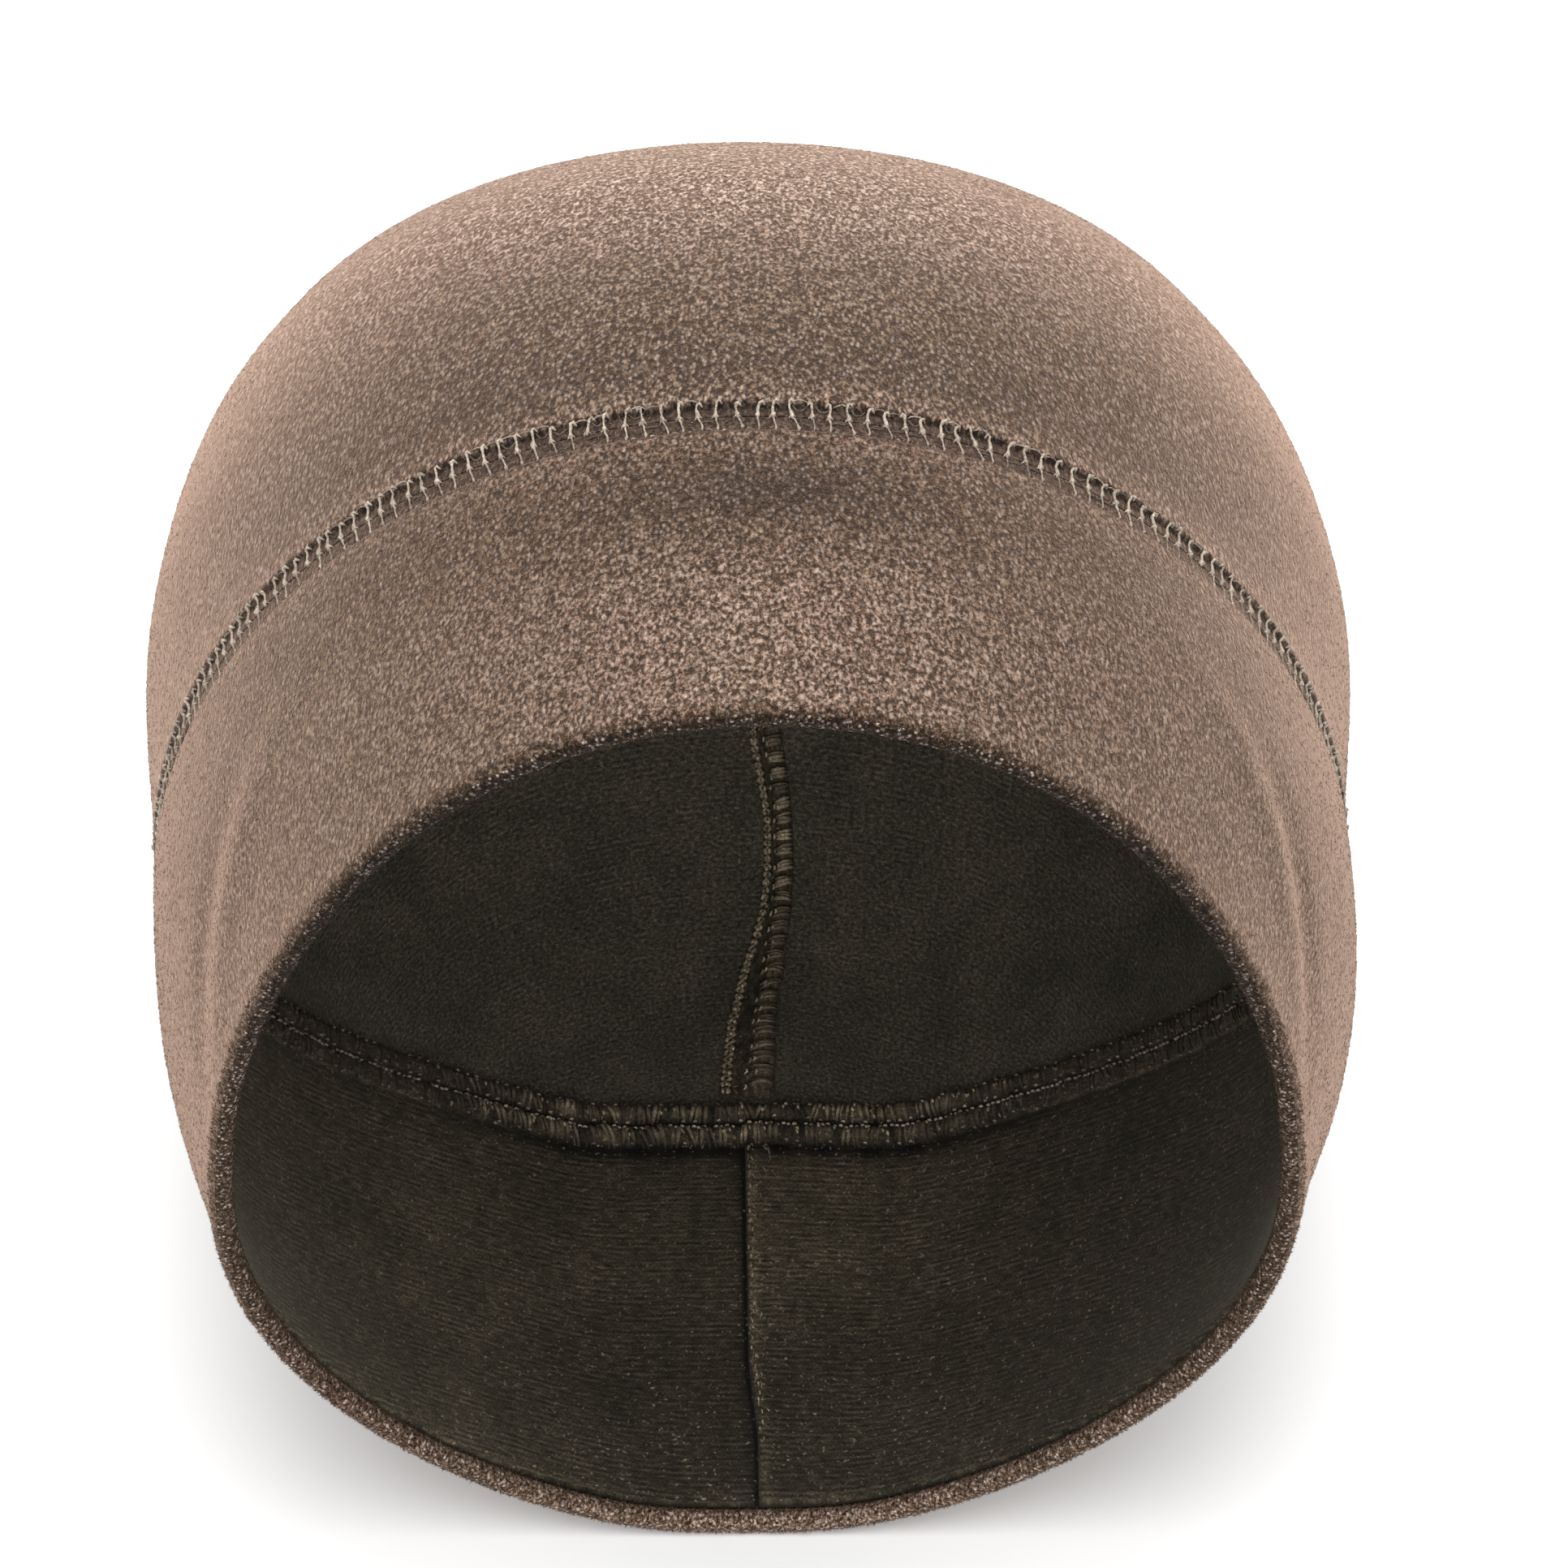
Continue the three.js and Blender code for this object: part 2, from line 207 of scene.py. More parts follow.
def skin_on_plan(plan_x, plan_y, depth):
    """Points at some depth below the outside, where they lie."""
    plan_x, plan_y, depth = np.broadcast_arrays(plan_x, plan_y, depth)
    point = outside(plan_x, plan_y) - outward_normal(plan_x, plan_y) * depth[..., None]
    return lay(point, depth)


def skin(turn, climb, depth):
    """The same, by the turn from the front and the climb from 0 at the rim to 1 at the top."""
    return skin_on_plan((1 - climb) * np.sin(turn), -(1 - climb) * np.cos(turn), depth)


def climb_by(turn, climb, millimetres):
    """The climb at some millimetres further up the outside."""
    step = skin(turn, climb + PLAN_STEP, 0) - skin(turn, climb - PLAN_STEP, 0)
    return climb + millimetres * 2 * PLAN_STEP / np.linalg.norm(step, axis=-1)


FINE_CLIMBS = np.linspace(0, 1, 2001)
FINE_HEIGHTS = table_curve(SECTIONS, "rise", FINE_CLIMBS, 1) * CROWN_HEIGHT


def degrees_from_front(turn):
    """How far round from the front a turn is, to either side."""
    return np.degrees(np.arccos(np.cos(turn)))


def ring_seam_climb(turn):
    """The climb of the ring seam, which is higher at the back."""
    climbing = smooth_step(degrees_from_front(turn), BAND_RISE_START, BAND_RISE_END)
    return np.interp(lerp(BAND_FRONT, BAND_BACK, climbing), FINE_HEIGHTS, FINE_CLIMBS)


# Arc length along the ring seam from the back, against the turn, so that stitches are evenly spaced.
RING_TURNS = np.linspace(-math.pi, math.pi, 2881)
RING_POINTS = skin(RING_TURNS, ring_seam_climb(RING_TURNS), 0)
RING_STEPS = np.linalg.norm(np.diff(RING_POINTS, axis=0), axis=1)
RING_ALONG = np.concatenate([[0], np.cumsum(RING_STEPS)])
RING_LENGTH = float(RING_ALONG[-1])

# Where the frame has the cap: the crown's middle across, and its far end.
crown_low, crown_high = (np.array(corner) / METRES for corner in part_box("crown_shell"))
dome_turns, dome_climbs = np.meshgrid(np.linspace(-math.pi, math.pi, 361), np.linspace(0.3, 1, 141))
DOME = skin(dome_turns, dome_climbs, 0)
SHIFT = np.array([
    (crown_low[0] + crown_high[0] - DOME[..., 0].min() - DOME[..., 0].max()) / 2,
    crown_high[1] - DOME[..., 1].max(),
    0,
])


def turn_along(along):
    return np.interp(along % RING_LENGTH, RING_ALONG, RING_TURNS)


def ring_place(along, up, depth):
    """Points by millimetres along the ring seam, up from it, and below the outside."""
    turn = turn_along(np.asarray(along, float))
    return skin(turn, climb_by(turn, ring_seam_climb(turn), up), depth)


def turn_at_back(right):
    return math.pi - math.asin(right / HALF_WIDTH)


def lap_lean(up):
    """How far the lap's step has moved to the right, up being negative below the ring seam."""
    return -LAP_LEAN * np.minimum(up, 0) + LAP_KICK * smooth_step(-up, 46, 66)


def from_lap(turn, up):
    """Millimetres to the right of the lap's step."""
    return (turn_at_back(LAP_PLACE) - np.mod(turn, 2 * math.pi)) * HALF_WIDTH - lap_lean(up)


def lap_thickness(turn, up):
    """What the lapped layer adds inside the band's lining. up is millimetres above the ring seam."""
    from_step = from_lap(turn, up)
    riser = smooth_step(from_step, -LAP_RISER, LAP_RISER)
    return LAP_STEP * riser * np.clip(1 - from_step / LAP_FADE, 0, 1)


# The crown seam's way: from above the ring seam's allowance at the back, over the top and a little on.
CROWN_SEAM_FOOT = float(1 - climb_by(math.pi, ring_seam_climb(math.pi), RING_RIDGE_HALF_WIDTH + SEAM_GAP))
PLAN_PER_MILLIMETRE = PLAN_STEP / float(np.linalg.norm(outside(0.0, -PLAN_STEP) - outside(0.0, 0.0)))
CROWN_SEAM_PLAN = np.linspace(CROWN_SEAM_FOOT, -CROWN_RIDGE_PAST_TOP * PLAN_PER_MILLIMETRE, 801)
CROWN_SEAM_STEPS = np.linalg.norm(np.diff(skin_on_plan(0.0, CROWN_SEAM_PLAN, LINING_INSIDE), axis=0), axis=1)
CROWN_SEAM_ALONG = np.concatenate([[0], np.cumsum(CROWN_SEAM_STEPS)])
CROWN_SEAM_LENGTH = float(CROWN_SEAM_ALONG[-1])


def crown_seam_place(along, right, rise):
    """Points by millimetres up the crown seam, to the right of its middle, and above the lining."""
    plan_y = np.interp(along, CROWN_SEAM_ALONG, CROWN_SEAM_PLAN)
    way = np.clip(1 - plan_y / CROWN_SEAM_FOOT, 0, 1)
    flare = CROWN_RIDGE_FLARE * np.maximum(0, 1 - way / FLARE_SHARE) ** 2
    middle = table_curve(CROWN_SEAM_WANDER, "right", way, 1) * HALF_WIDTH
    across = np.linalg.norm(outside(PLAN_STEP + 0 * plan_y, plan_y) - outside(0 * plan_y, plan_y), axis=-1)
    from_middle = right * (1 + flare / CROWN_RIDGE_HALF_WIDTH)
    return skin_on_plan((middle + from_middle) * PLAN_STEP / across, plan_y, LINING_INSIDE + rise)


# Making meshes. Points closer than the first are one point, and edges shorter than the second are dropped,
# both in metres. A thread looks round with few sides.
WELD = 1e-7
SLIVER = 1e-8
THREAD_SIDES = 5


def finish_piece(mesh_object, material, replaced=()):
    mesh_object.data.materials.clear()
    mesh_object.data.materials.append(material)
    mesh_object.data.polygons.foreach_set("use_smooth", [True] * len(mesh_object.data.polygons))
    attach(mesh_object, "root")
    for node in replaced:
        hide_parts(node)
    return mesh_object


def new_object(name, mesh):
    made = bpy.data.objects.new(name, mesh)
    bpy.context.scene.collection.objects.link(made)
    return made


def sheet_object(name, points, uv, attributes=None):
    """A mesh through a grid of points, welded where its edges or poles meet. points is (rows, columns, 3)."""
    rows, columns = points.shape[:2]
    mesh = bpy.data.meshes.new(name)
    build = bmesh.new()
    build.loops.layers.uv.new("UVMap")
    bmesh.ops.create_grid(build, x_segments=columns - 1, y_segments=rows - 1, size=1, calc_uvs=True)
    build.to_mesh(mesh)
    build.free()
    place = np.empty(len(mesh.vertices) * 3)
    mesh.vertices.foreach_get("co", place)
    place = place.reshape(-1, 3)
    column = np.rint((place[:, 0] + 1) / 2 * (columns - 1)).astype(int)
    row = np.rint((place[:, 1] + 1) / 2 * (rows - 1)).astype(int)
    mesh.vertices.foreach_set("co", ((points[row, column] + SHIFT) * METRES).ravel())
    for attribute, values in (attributes or {}).items():
        layer = mesh.attributes.new(attribute, "FLOAT", "POINT")
        layer.data.foreach_set("value", values[row, column].astype(np.float32))
    corner = np.empty(len(mesh.loops), int)
    mesh.loops.foreach_get("vertex_index", corner)
    mesh.uv_layers[0].data.foreach_set("uv", uv[row[corner], column[corner]].astype(np.float32).ravel())
    build = bmesh.new()
    build.from_mesh(mesh)
    bmesh.ops.remove_doubles(build, verts=build.verts, dist=WELD)
    bmesh.ops.dissolve_degenerate(build, edges=build.edges, dist=SLIVER)
    bmesh.ops.recalc_face_normals(build, faces=build.faces)
    build.to_mesh(mesh)
    build.free()
    return new_object(name, mesh)


def tube_template(rings):
    """A straight capped tube: its mesh data, and the ring and the angle of each of its points."""
    build = bmesh.new()
    bmesh.ops.create_cone(build, cap_ends=True, segments=THREAD_SIDES, radius1=1, radius2=1, depth=rings - 1)
    lengthwise = [edge for edge in build.edges if abs(edge.verts[0].co.z - edge.verts[1].co.z) > 0.5]
    bmesh.ops.subdivide_edges(build, edges=lengthwise, cuts=rings - 2)
    place = np.array([vertex.co[:] for vertex in build.verts])
    faces = [[vertex.index for vertex in face.verts] for face in build.faces]
    build.free()
    ring = np.rint(place[:, 2] + (rings - 1) / 2).astype(int)
    return faces, ring, np.arctan2(place[:, 1], place[:, 0])


def round_paths(paths, radii, ring, angle):
    """Points round each path, for the ring and the angle of each point of a tube.

    paths is (count, rings, 3)."""
    heading = np.gradient(paths, axis=1)
    heading = heading / np.linalg.norm(heading, axis=-1, keepdims=True)
    side = np.cross(heading[:, 0], [0.36, 0.48, 0.8])
    sides = []
    for row in range(paths.shape[1]):
        side = side - (side * heading[:, row]).sum(axis=-1, keepdims=True) * heading[:, row]
        side = side / np.linalg.norm(side, axis=-1, keepdims=True)
        sides.append(side)
    sides = np.stack(sides, axis=1)
    others = np.cross(heading, sides)
    radius = np.broadcast_to(radii, paths.shape[:2])[:, ring, None]
    turned = np.cos(angle)[:, None] * sides[:, ring] + np.sin(angle)[:, None] * others[:, ring]
    return paths[:, ring] + radius * turned


def joined_object(name, parts):
    """Many small copies as one mesh. A part is (points of its copies, faces of one copy, values), where a
    value is one number, one for each copy, or one for each point of each copy."""
    points, corners, sizes = [], [], []
    values = {attribute_name: [] for attribute_name in parts[0][2]}
    first = 0
    for copies, faces, of_copy in parts:
        count, each = copies.shape[:2]
        flat = np.concatenate(faces)
        starts = first + each * np.arange(count)
        points.append(copies.reshape(-1, 3))
        corners.append((starts[:, None] + flat).ravel())
        sizes.append(np.tile([len(face) for face in faces], count))
        for attribute_name, value in of_copy.items():
            value = np.asarray(value, float)
            value = value if value.ndim == 2 else value.reshape(-1, 1)
            values[attribute_name].append(np.broadcast_to(value, (count, each)).ravel())
        first += each * count
    points, corners, sizes = np.concatenate(points), np.concatenate(corners), np.concatenate(sizes)
    mesh = bpy.data.meshes.new(name)
    mesh.vertices.add(len(points))
    mesh.vertices.foreach_set("co", ((points + SHIFT) * METRES).ravel())
    mesh.loops.add(len(corners))
    mesh.loops.foreach_set("vertex_index", corners)
    mesh.polygons.add(len(sizes))
    mesh.polygons.foreach_set("loop_start", np.concatenate([[0], np.cumsum(sizes)[:-1]]))
    for attribute_name, value in values.items():
        layer = mesh.attributes.new(attribute_name, "FLOAT", "POINT")
        layer.data.foreach_set("value", np.concatenate(value).astype(np.float32))
    mesh.update(calc_edges=True)
    return new_object(name, mesh)


def thread_piece(name, groups, material):
    """One piece of round threads.

    A group is (paths, radii, shade). A shade is dark at 0 and light at 1, for each path or along each."""
    parts = []
    for paths, radii, shade in groups:
        faces, ring, angle = tube_template(paths.shape[1])
        if np.ndim(shade) == 2:
            shade = shade[:, ring]
        parts.append((round_paths(paths, np.asarray(radii), ring, angle), faces, dict(shade=shade)))
    return finish_piece(joined_object(name, parts), material)


# Colours. A grain or a knit has stops from dark to light, each at a place from 0 to 1.
FLEECE_GRAIN = [
    (0.345, "#170f09"),
    (0.435, "#443427"),
    (0.5, "#745f52"),
    (0.567, "#a99087"),
    (0.67, "#e0cfcb"),
]
STROKED_GRAIN = [
    (0.37, "#170f09"),
    (0.45, "#443427"),
    (0.505, "#745f52"),
    (0.56, "#a99087"),
    (0.64, "#e7d6d2"),
]
FIBRE_GRAIN = [(0.0, "#3f3126"), (0.5, "#7a6654"), (1.0, "#c9af9d")]
HEATHER_TINTS = [(0.0, "#f2fded"), (1.0, "#ffefea")]
# Tints for the fleece's painted light and shade, from dark to light.
PAINTED_LIGHT_TONES = [(0.0, "#000000"), (0.2, "#7f7768"), (0.4, "#aca59e"), (1.0, "#ffffff")]
# Tints for the pressed pile and the painted shade in the seam's channel.
PRESSED_AND_SHADED_TONES = [(0.0, "#ffffff"), (1.0, "#54473c")]
BAND_KNIT = [(0.3, "#2a2722"), (0.5, "#585145"), (0.7, "#8b8271")]
CROWN_KNIT = [(0.3, "#2a2925"), (0.5, "#56524a"), (0.7, "#878278")]
EDGE_KNIT = [(0.3, "#2a251e"), (0.5, "#5f564a"), (0.7, "#968a78")]
JERSEY_TINTS = [(0.3, "#c4c6b4"), (0.7, "#fdf4e8")]
SHADES = [(0.0, "#000000"), (1.0, "#ffffff")]
HAIR_TINTS = [(0.3, "#857d75"), (0.7, "#ffffff")]
PILE_TIP = "#e6d2c8"
SLUB = "#958c78"
FLEECE_SHEEN = "#f0cab3"
JERSEY_SHEEN = "#d4ccbc"
THREAD_SHEEN = "#d8c4a4"

# Sizes in the patterns, in millimetres. The fleece's real curls are about 0.2 wide and the jersey's real
# stitches about 0.5, too fine to show in the render, so both are drawn about twice as coarse or more.
BAND_CURL = 0.5618
CROWN_CURL = 0.5952
HEM_CURL = 0.4444
CURL_RELIEF = 0.4
PILE_TIP_SPACING = 0.72
HEATHER_CLOUD = 26.316
WALE_WIDTH = 0.9
COURSE_HEIGHT = 1.1
STITCH_RELIEF = 0.15
JERSEY_HAIR = 0.4167
JERSEY_CLOUD = 11.111
SLUB_WIDTH = 0.6452
THREAD_HAIR = 0.2941
HAIR_RELIEF = 0.1

# Pale tips show in full where the painted light is above this, on its scale from 0 to 1.
FULL_TIPS_LIGHT = 0.13


def colour(code):
    """Linear colour of an sRGB hex value."""
    channels = [int(code[place : place + 2], 16) / 255 for place in (1, 3, 5)]
    linear = [c / 12.92 if c <= 0.04045 else ((c + 0.055) / 1.055) ** 2.4 for c in channels]
    return (*linear, 1.0)


def per_metre(size):
    """A pattern's scale, for a feature's size in millimetres."""
    return 1 / (size * METRES)


def add(tree, kind, inputs=None, stops=(), **settings):
    """Adds a node with its settings. inputs gives each socket a value or another node's output, and stops
    gives a colour ramp its places and their sRGB hex values."""
    node = tree.nodes.new(kind)
    for setting, value in settings.items():
        setattr(node, setting, value)
    for socket, value in (inputs or {}).items():
        if isinstance(value, bpy.types.NodeSocket):
            tree.links.new(value, node.inputs[socket])
        else:
            node.inputs[socket].default_value = value
    for _ in stops[2:]:
        node.color_ramp.elements.new(0.5)
    for number, (place, code) in enumerate(stops):
        element = node.color_ramp.elements[number]
        element.position = place
        element.color = colour(code)
    return node


def new_material(name):
    material = bpy.data.materials.new(name)
    material.use_nodes = True
    material.node_tree.nodes.clear()
    return material, material.node_tree


def tinted(tree, share, stops, base):
    """Multiplies a colour by the tint that a colour ramp gives for a share."""
    tint = add(tree, "ShaderNodeValToRGB", dict(Fac=share), stops).outputs["Color"]
    return add(tree, "ShaderNodeVectorMath", {0: base, 1: tint}, operation="MULTIPLY").outputs["Vector"]


def fleece_finish(tree, grain, sheen, tips=None, relief=None):
    """Shared by fleece and its fibres: cloudy heather, painted light and shade, darker pressed pile, a pale
    sheen.
    """
    place = add(tree, "ShaderNodeTexCoord").outputs["Object"]
    clouds = add(tree, "ShaderNodeTexNoise",
                 dict(Vector=place, Scale=per_metre(HEATHER_CLOUD), Detail=3.0, Roughness=0.55))
    base = tinted(tree, clouds.outputs["Fac"], HEATHER_TINTS, grain)
    # Painted light and shade, which lighten or darken the fleece's colour.
    painted_light_share = add(tree, "ShaderNodeAttribute", attribute_name="painted_light").outputs["Fac"]
    base = tinted(tree, painted_light_share, PAINTED_LIGHT_TONES, base)
    # Pale pile tips, shown more where the painted light is lighter.
    if tips:
        upright = add(tree, "ShaderNodeMapRange", {"Value": painted_light_share, "From Min": 0.0, "From Max": FULL_TIPS_LIGHT})
        raised = add(tree, "ShaderNodeMath", {0: tips, 1: upright.outputs["Result"]}, operation="MULTIPLY")
        tipped = {0: raised.outputs["Value"], 6: base, 7: colour(PILE_TIP)}
        base = add(tree, "ShaderNodeMix", tipped, data_type="RGBA").outputs[2]
    # Pressed pile and painted shade in the channel, which darken the colour.
    press_and_shade = add(tree, "ShaderNodeAttribute", attribute_name="press_and_shade").outputs["Fac"]
    inputs = {
        "Base Color": tinted(tree, press_and_shade, PRESSED_AND_SHADED_TONES, base),
        "Roughness": 0.95,
        "Specular IOR Level": 0.2,
        "Sheen Weight": sheen,
        "Sheen Roughness": 0.45,
        "Sheen Tint": colour(FLEECE_SHEEN),
    }
    if relief:
        inputs["Normal"] = relief
    surface = add(tree, "ShaderNodeBsdfPrincipled", inputs)
    add(tree, "ShaderNodeOutputMaterial", dict(Surface=surface.outputs["BSDF"]))


def micro_fleece(name, grain_stops, curl, nap_stroke, tip_share, sheen):
    """Brushed polyester micro-fleece: matt, short curled fibres in light and dark heather, with pale tips.

    nap_stroke under 1 draws the curls out, as a hand does that strokes the pile from front to back."""
    material, tree = new_material(name)
    place = add(tree, "ShaderNodeTexCoord").outputs["Object"]
    drawn = add(tree, "ShaderNodeMapping", dict(Vector=place, Scale=(1.0, nap_stroke, 1.0))).outputs["Vector"]
    curls = add(tree, "ShaderNodeTexNoise",
                dict(Vector=drawn, Scale=per_metre(curl), Detail=2.5, Roughness=0.65, Distortion=0.4))
    grain = add(tree, "ShaderNodeValToRGB", dict(Fac=curls.outputs["Fac"]), grain_stops)
    relief = add(tree, "ShaderNodeBump",
                 dict(Strength=0.7, Distance=CURL_RELIEF * METRES, Height=curls.outputs["Fac"]))
    cells = add(tree, "ShaderNodeTexVoronoi", dict(Vector=drawn, Scale=per_metre(PILE_TIP_SPACING)))
    tips = add(tree, "ShaderNodeMapRange", {"Value": cells.outputs["Distance"], "From Min": 0.42,
                                            "From Max": 0.1, "To Min": 0.0, "To Max": tip_share})
    fleece_finish(tree, grain.outputs["Color"], sheen, tips.outputs["Result"], relief.outputs["Normal"])
    return material


def fleece_fibres(name, sheen):
    """Single fibres that stand out of the fleece, each between dark and light by its shade."""
    material, tree = new_material(name)
    shade = add(tree, "ShaderNodeAttribute", attribute_name="shade").outputs["Fac"]
    grain = add(tree, "ShaderNodeValToRGB", dict(Fac=shade), FIBRE_GRAIN)
    fleece_finish(tree, grain.outputs["Color"], sheen)
    return material


def wave(tree, value, width):
    """A sine between -1 and 1 that repeats each width."""
    turns = add(tree, "ShaderNodeMath", {0: value, 1: 2 * math.pi / width}, operation="MULTIPLY")
    return add(tree, "ShaderNodeMath", {0: turns.outputs["Value"]}, operation="SINE").outputs["Value"]


def knitted_jersey(name, stitch_colours, slubs_from, row_share, dash):
    """Fine single jersey in dark mixed yarn: rows of small stitches in dashes, cloudy, with pale slubs.

    Slubs show where the noise is above slubs_from. row_share is how strong the rows are, and dash is the
    length of a light or dark stretch of yarn in millimetres."""
    material, tree = new_material(name)
    place = add(tree, "ShaderNodeTexCoord").outputs["Object"]
    flat = add(tree, "ShaderNodeUVMap", uv_map="UVMap").outputs["UV"]
    split = add(tree, "ShaderNodeSeparateXYZ", dict(Vector=flat))
    wale = wave(tree, split.outputs["X"], WALE_WIDTH)
    bent = add(tree, "ShaderNodeMath", {0: wale, 1: 0.12, 2: split.outputs["Y"]}, operation="MULTIPLY_ADD")
    course = wave(tree, bent.outputs["Value"], COURSE_HEIGHT)
    dashed = add(tree, "ShaderNodeMapping", dict(Vector=flat, Scale=(1 / dash, 2 / COURSE_HEIGHT, 1)))
    dashes = add(tree, "ShaderNodeTexNoise", dict(Vector=dashed.outputs["Vector"], Scale=1.0, Detail=2.0))
    hairs = add(tree, "ShaderNodeTexNoise",
                dict(Vector=place, Scale=per_metre(JERSEY_HAIR), Detail=1.5, Roughness=0.6))
    yarn = add(tree, "ShaderNodeMix", {0: 0.4, 2: dashes.outputs["Fac"], 3: hairs.outputs["Fac"]})
    mixed = add(tree, "ShaderNodeMath", {0: course, 1: row_share, 2: yarn.outputs[0]},
                operation="MULTIPLY_ADD")
    stitches = add(tree, "ShaderNodeValToRGB", dict(Fac=mixed.outputs["Value"]), stitch_colours)
    clouds = add(tree, "ShaderNodeTexNoise",
                 dict(Vector=place, Scale=per_metre(JERSEY_CLOUD), Detail=3.0, Roughness=0.6))
    base = tinted(tree, clouds.outputs["Fac"], JERSEY_TINTS, stitches.outputs["Color"])
    # The shade attribute multiplies the knit by painted light and shade.
    shade = add(tree, "ShaderNodeAttribute", attribute_name="shade").outputs["Fac"]
    base = tinted(tree, shade, SHADES, base)
    slubs = add(tree, "ShaderNodeTexNoise",
                dict(Vector=place, Scale=per_metre(SLUB_WIDTH), Detail=1.0, Roughness=0.5))
    spread = add(tree, "ShaderNodeMath", {0: clouds.outputs["Fac"], 1: 0.14, 2: slubs.outputs["Fac"]},
                 operation="MULTIPLY_ADD")
    pale = add(tree, "ShaderNodeMapRange", {"Value": spread.outputs["Value"], "From Min": slubs_from,
                                            "From Max": slubs_from + 0.2, "To Min": 0.0, "To Max": 1.0})
    flecked = add(tree, "ShaderNodeMix", {0: pale.outputs["Result"], 6: base, 7: colour(SLUB)},
                  data_type="RGBA")
    relief = add(tree, "ShaderNodeBump",
                 dict(Strength=0.7, Distance=STITCH_RELIEF * METRES, Height=mixed.outputs["Value"]))
    inputs = {
        "Base Color": flecked.outputs[2],
        "Roughness": 0.9,
        "Specular IOR Level": 0.2,
        "Normal": relief.outputs["Normal"],
        "Sheen Weight": 0.12,
        "Sheen Roughness": 0.5,
        "Sheen Tint": colour(JERSEY_SHEEN),
    }
    surface = add(tree, "ShaderNodeBsdfPrincipled", inputs)
    add(tree, "ShaderNodeOutputMaterial", dict(Surface=surface.outputs["BSDF"]))
    return material


def sewing_thread(name, dark, light, roughness):
    """Spun or textured polyester thread: soft and matt, lighter or darker from stitch to stitch."""
    material, tree = new_material(name)
    place = add(tree, "ShaderNodeTexCoord").outputs["Object"]
    hairs = add(tree, "ShaderNodeTexNoise",
                dict(Vector=place, Scale=per_metre(THREAD_HAIR), Detail=2.0, Roughness=0.6))
    # The shade attribute holds each stitch's own tone and, on loops and rungs, painted highlights and shade.
    shade = add(tree, "ShaderNodeAttribute", attribute_name="shade").outputs["Fac"]
    yarn = add(tree, "ShaderNodeValToRGB", dict(Fac=shade), [(0.0, dark), (1.0, light)])
    relief = add(tree, "ShaderNodeBump",
                 dict(Strength=0.5, Distance=HAIR_RELIEF * METRES, Height=hairs.outputs["Fac"]))
    inputs = {
        "Base Color": tinted(tree, hairs.outputs["Fac"], HAIR_TINTS, yarn.outputs["Color"]),
        "Roughness": roughness,
        "Normal": relief.outputs["Normal"],
        "Sheen Weight": 0.1,
        "Sheen Roughness": 0.4,
        "Sheen Tint": colour(THREAD_SHEEN),
    }
    surface = add(tree, "ShaderNodeBsdfPrincipled", inputs)
    add(tree, "ShaderNodeOutputMaterial", dict(Surface=surface.outputs["BSDF"]))
    return material


def matt_paper(name, code):
    """Plain matt paper, as a studio floor has."""
    material, tree = new_material(name)
    surface = add(tree, "ShaderNodeBsdfPrincipled", {"Base Color": colour(code), "Roughness": 0.9})
    add(tree, "ShaderNodeOutputMaterial", dict(Surface=surface.outputs["BSDF"]))
    return material


# The shell: crown and band of micro-fleece.
COLUMNS = 360
COLUMN_TURNS = np.linspace(-math.pi, math.pi, COLUMNS + 1)
COLUMN_ALONG = np.interp(COLUMN_TURNS, RING_TURNS, RING_ALONG)
HEM_START = 0.24 * math.pi  # round its bead, before it faces down

# The channel that the ladder stitches press in: its depth, and the millimetres above the seam between which
# each of its sides slopes.
CHANNEL_DEPTH = 0.8
CHANNEL_CROWN_SIDE = (1.9, 2.9)
CHANNEL_BAND_SIDE = (-3.9, -2.9)

# Painted light and shade on the fleece: 0 where it is painted darkest, and 1 where it is painted lightest.
# Each patch lifts it at a climb, and some of them at a number of degrees from the front, given as the middle
# and the spread. Round the rim it is painted lighter or darker, by a share, a middle and a spread in degrees
# from the front.
PAINTED_LIGHT_LEVEL = 0.3
PAINTED_LIGHT_PATCHES = [
    dict(lift=-0.025, climb=(0.43, 0.07)),
    dict(lift=-0.155, climb=(0.355, 0.045)),
    dict(lift=0.15, climb=(0.3, 0.025)),
    dict(lift=-0.06, climb=(0.25, 0.035), front=(38, 20)),
    dict(lift=-0.07, climb=(0.23, 0.06), front=(62, 24)),
    dict(lift=-0.075, climb=(0.225, 0.05)),
    dict(lift=-0.13, climb=(0.22, 0.035), front=(0, 13)),
    dict(lift=-0.04, climb=(0.18, 0.045)),
]
RIM_PAINTED_LIGHT = [(0.9, 0, 22), (-0.35, 42, 14), (0.7, 80, 17), (2.4, 180, 45)]

# Loose fibres: how many, their length, how far their tips stand out and their half width in millimetres,
# and how much they differ in shade.
CROWN_FIBRES = dict(count=43000, length=(0.35, 0.85), rise=(0.06, 0.3), width=(0.08, 0.15), contrast=0.28)
BAND_FIBRES = dict(count=42000, length=(0.35, 0.85), rise=(0.06, 0.3), width=(0.08, 0.15), contrast=0.18)
HEM_FIBRES = dict(count=27000, length=(0.35, 0.9), rise=(0.15, 0.5), width=(0.07, 0.14), contrast=0.2)
FIBRE_ROOT = 0.04
FIBRE_FLATNESS = 0.4
FIBRE_SHADE = 0.45


def channel_depth(up):
    """Depth of the channel, by the millimetres above the seam."""
    crown_side = 1 - smooth_step(up, *CHANNEL_CROWN_SIDE)
    band_side = smooth_step(up, *CHANNEL_BAND_SIDE)
    return CHANNEL_DEPTH * crown_side * band_side


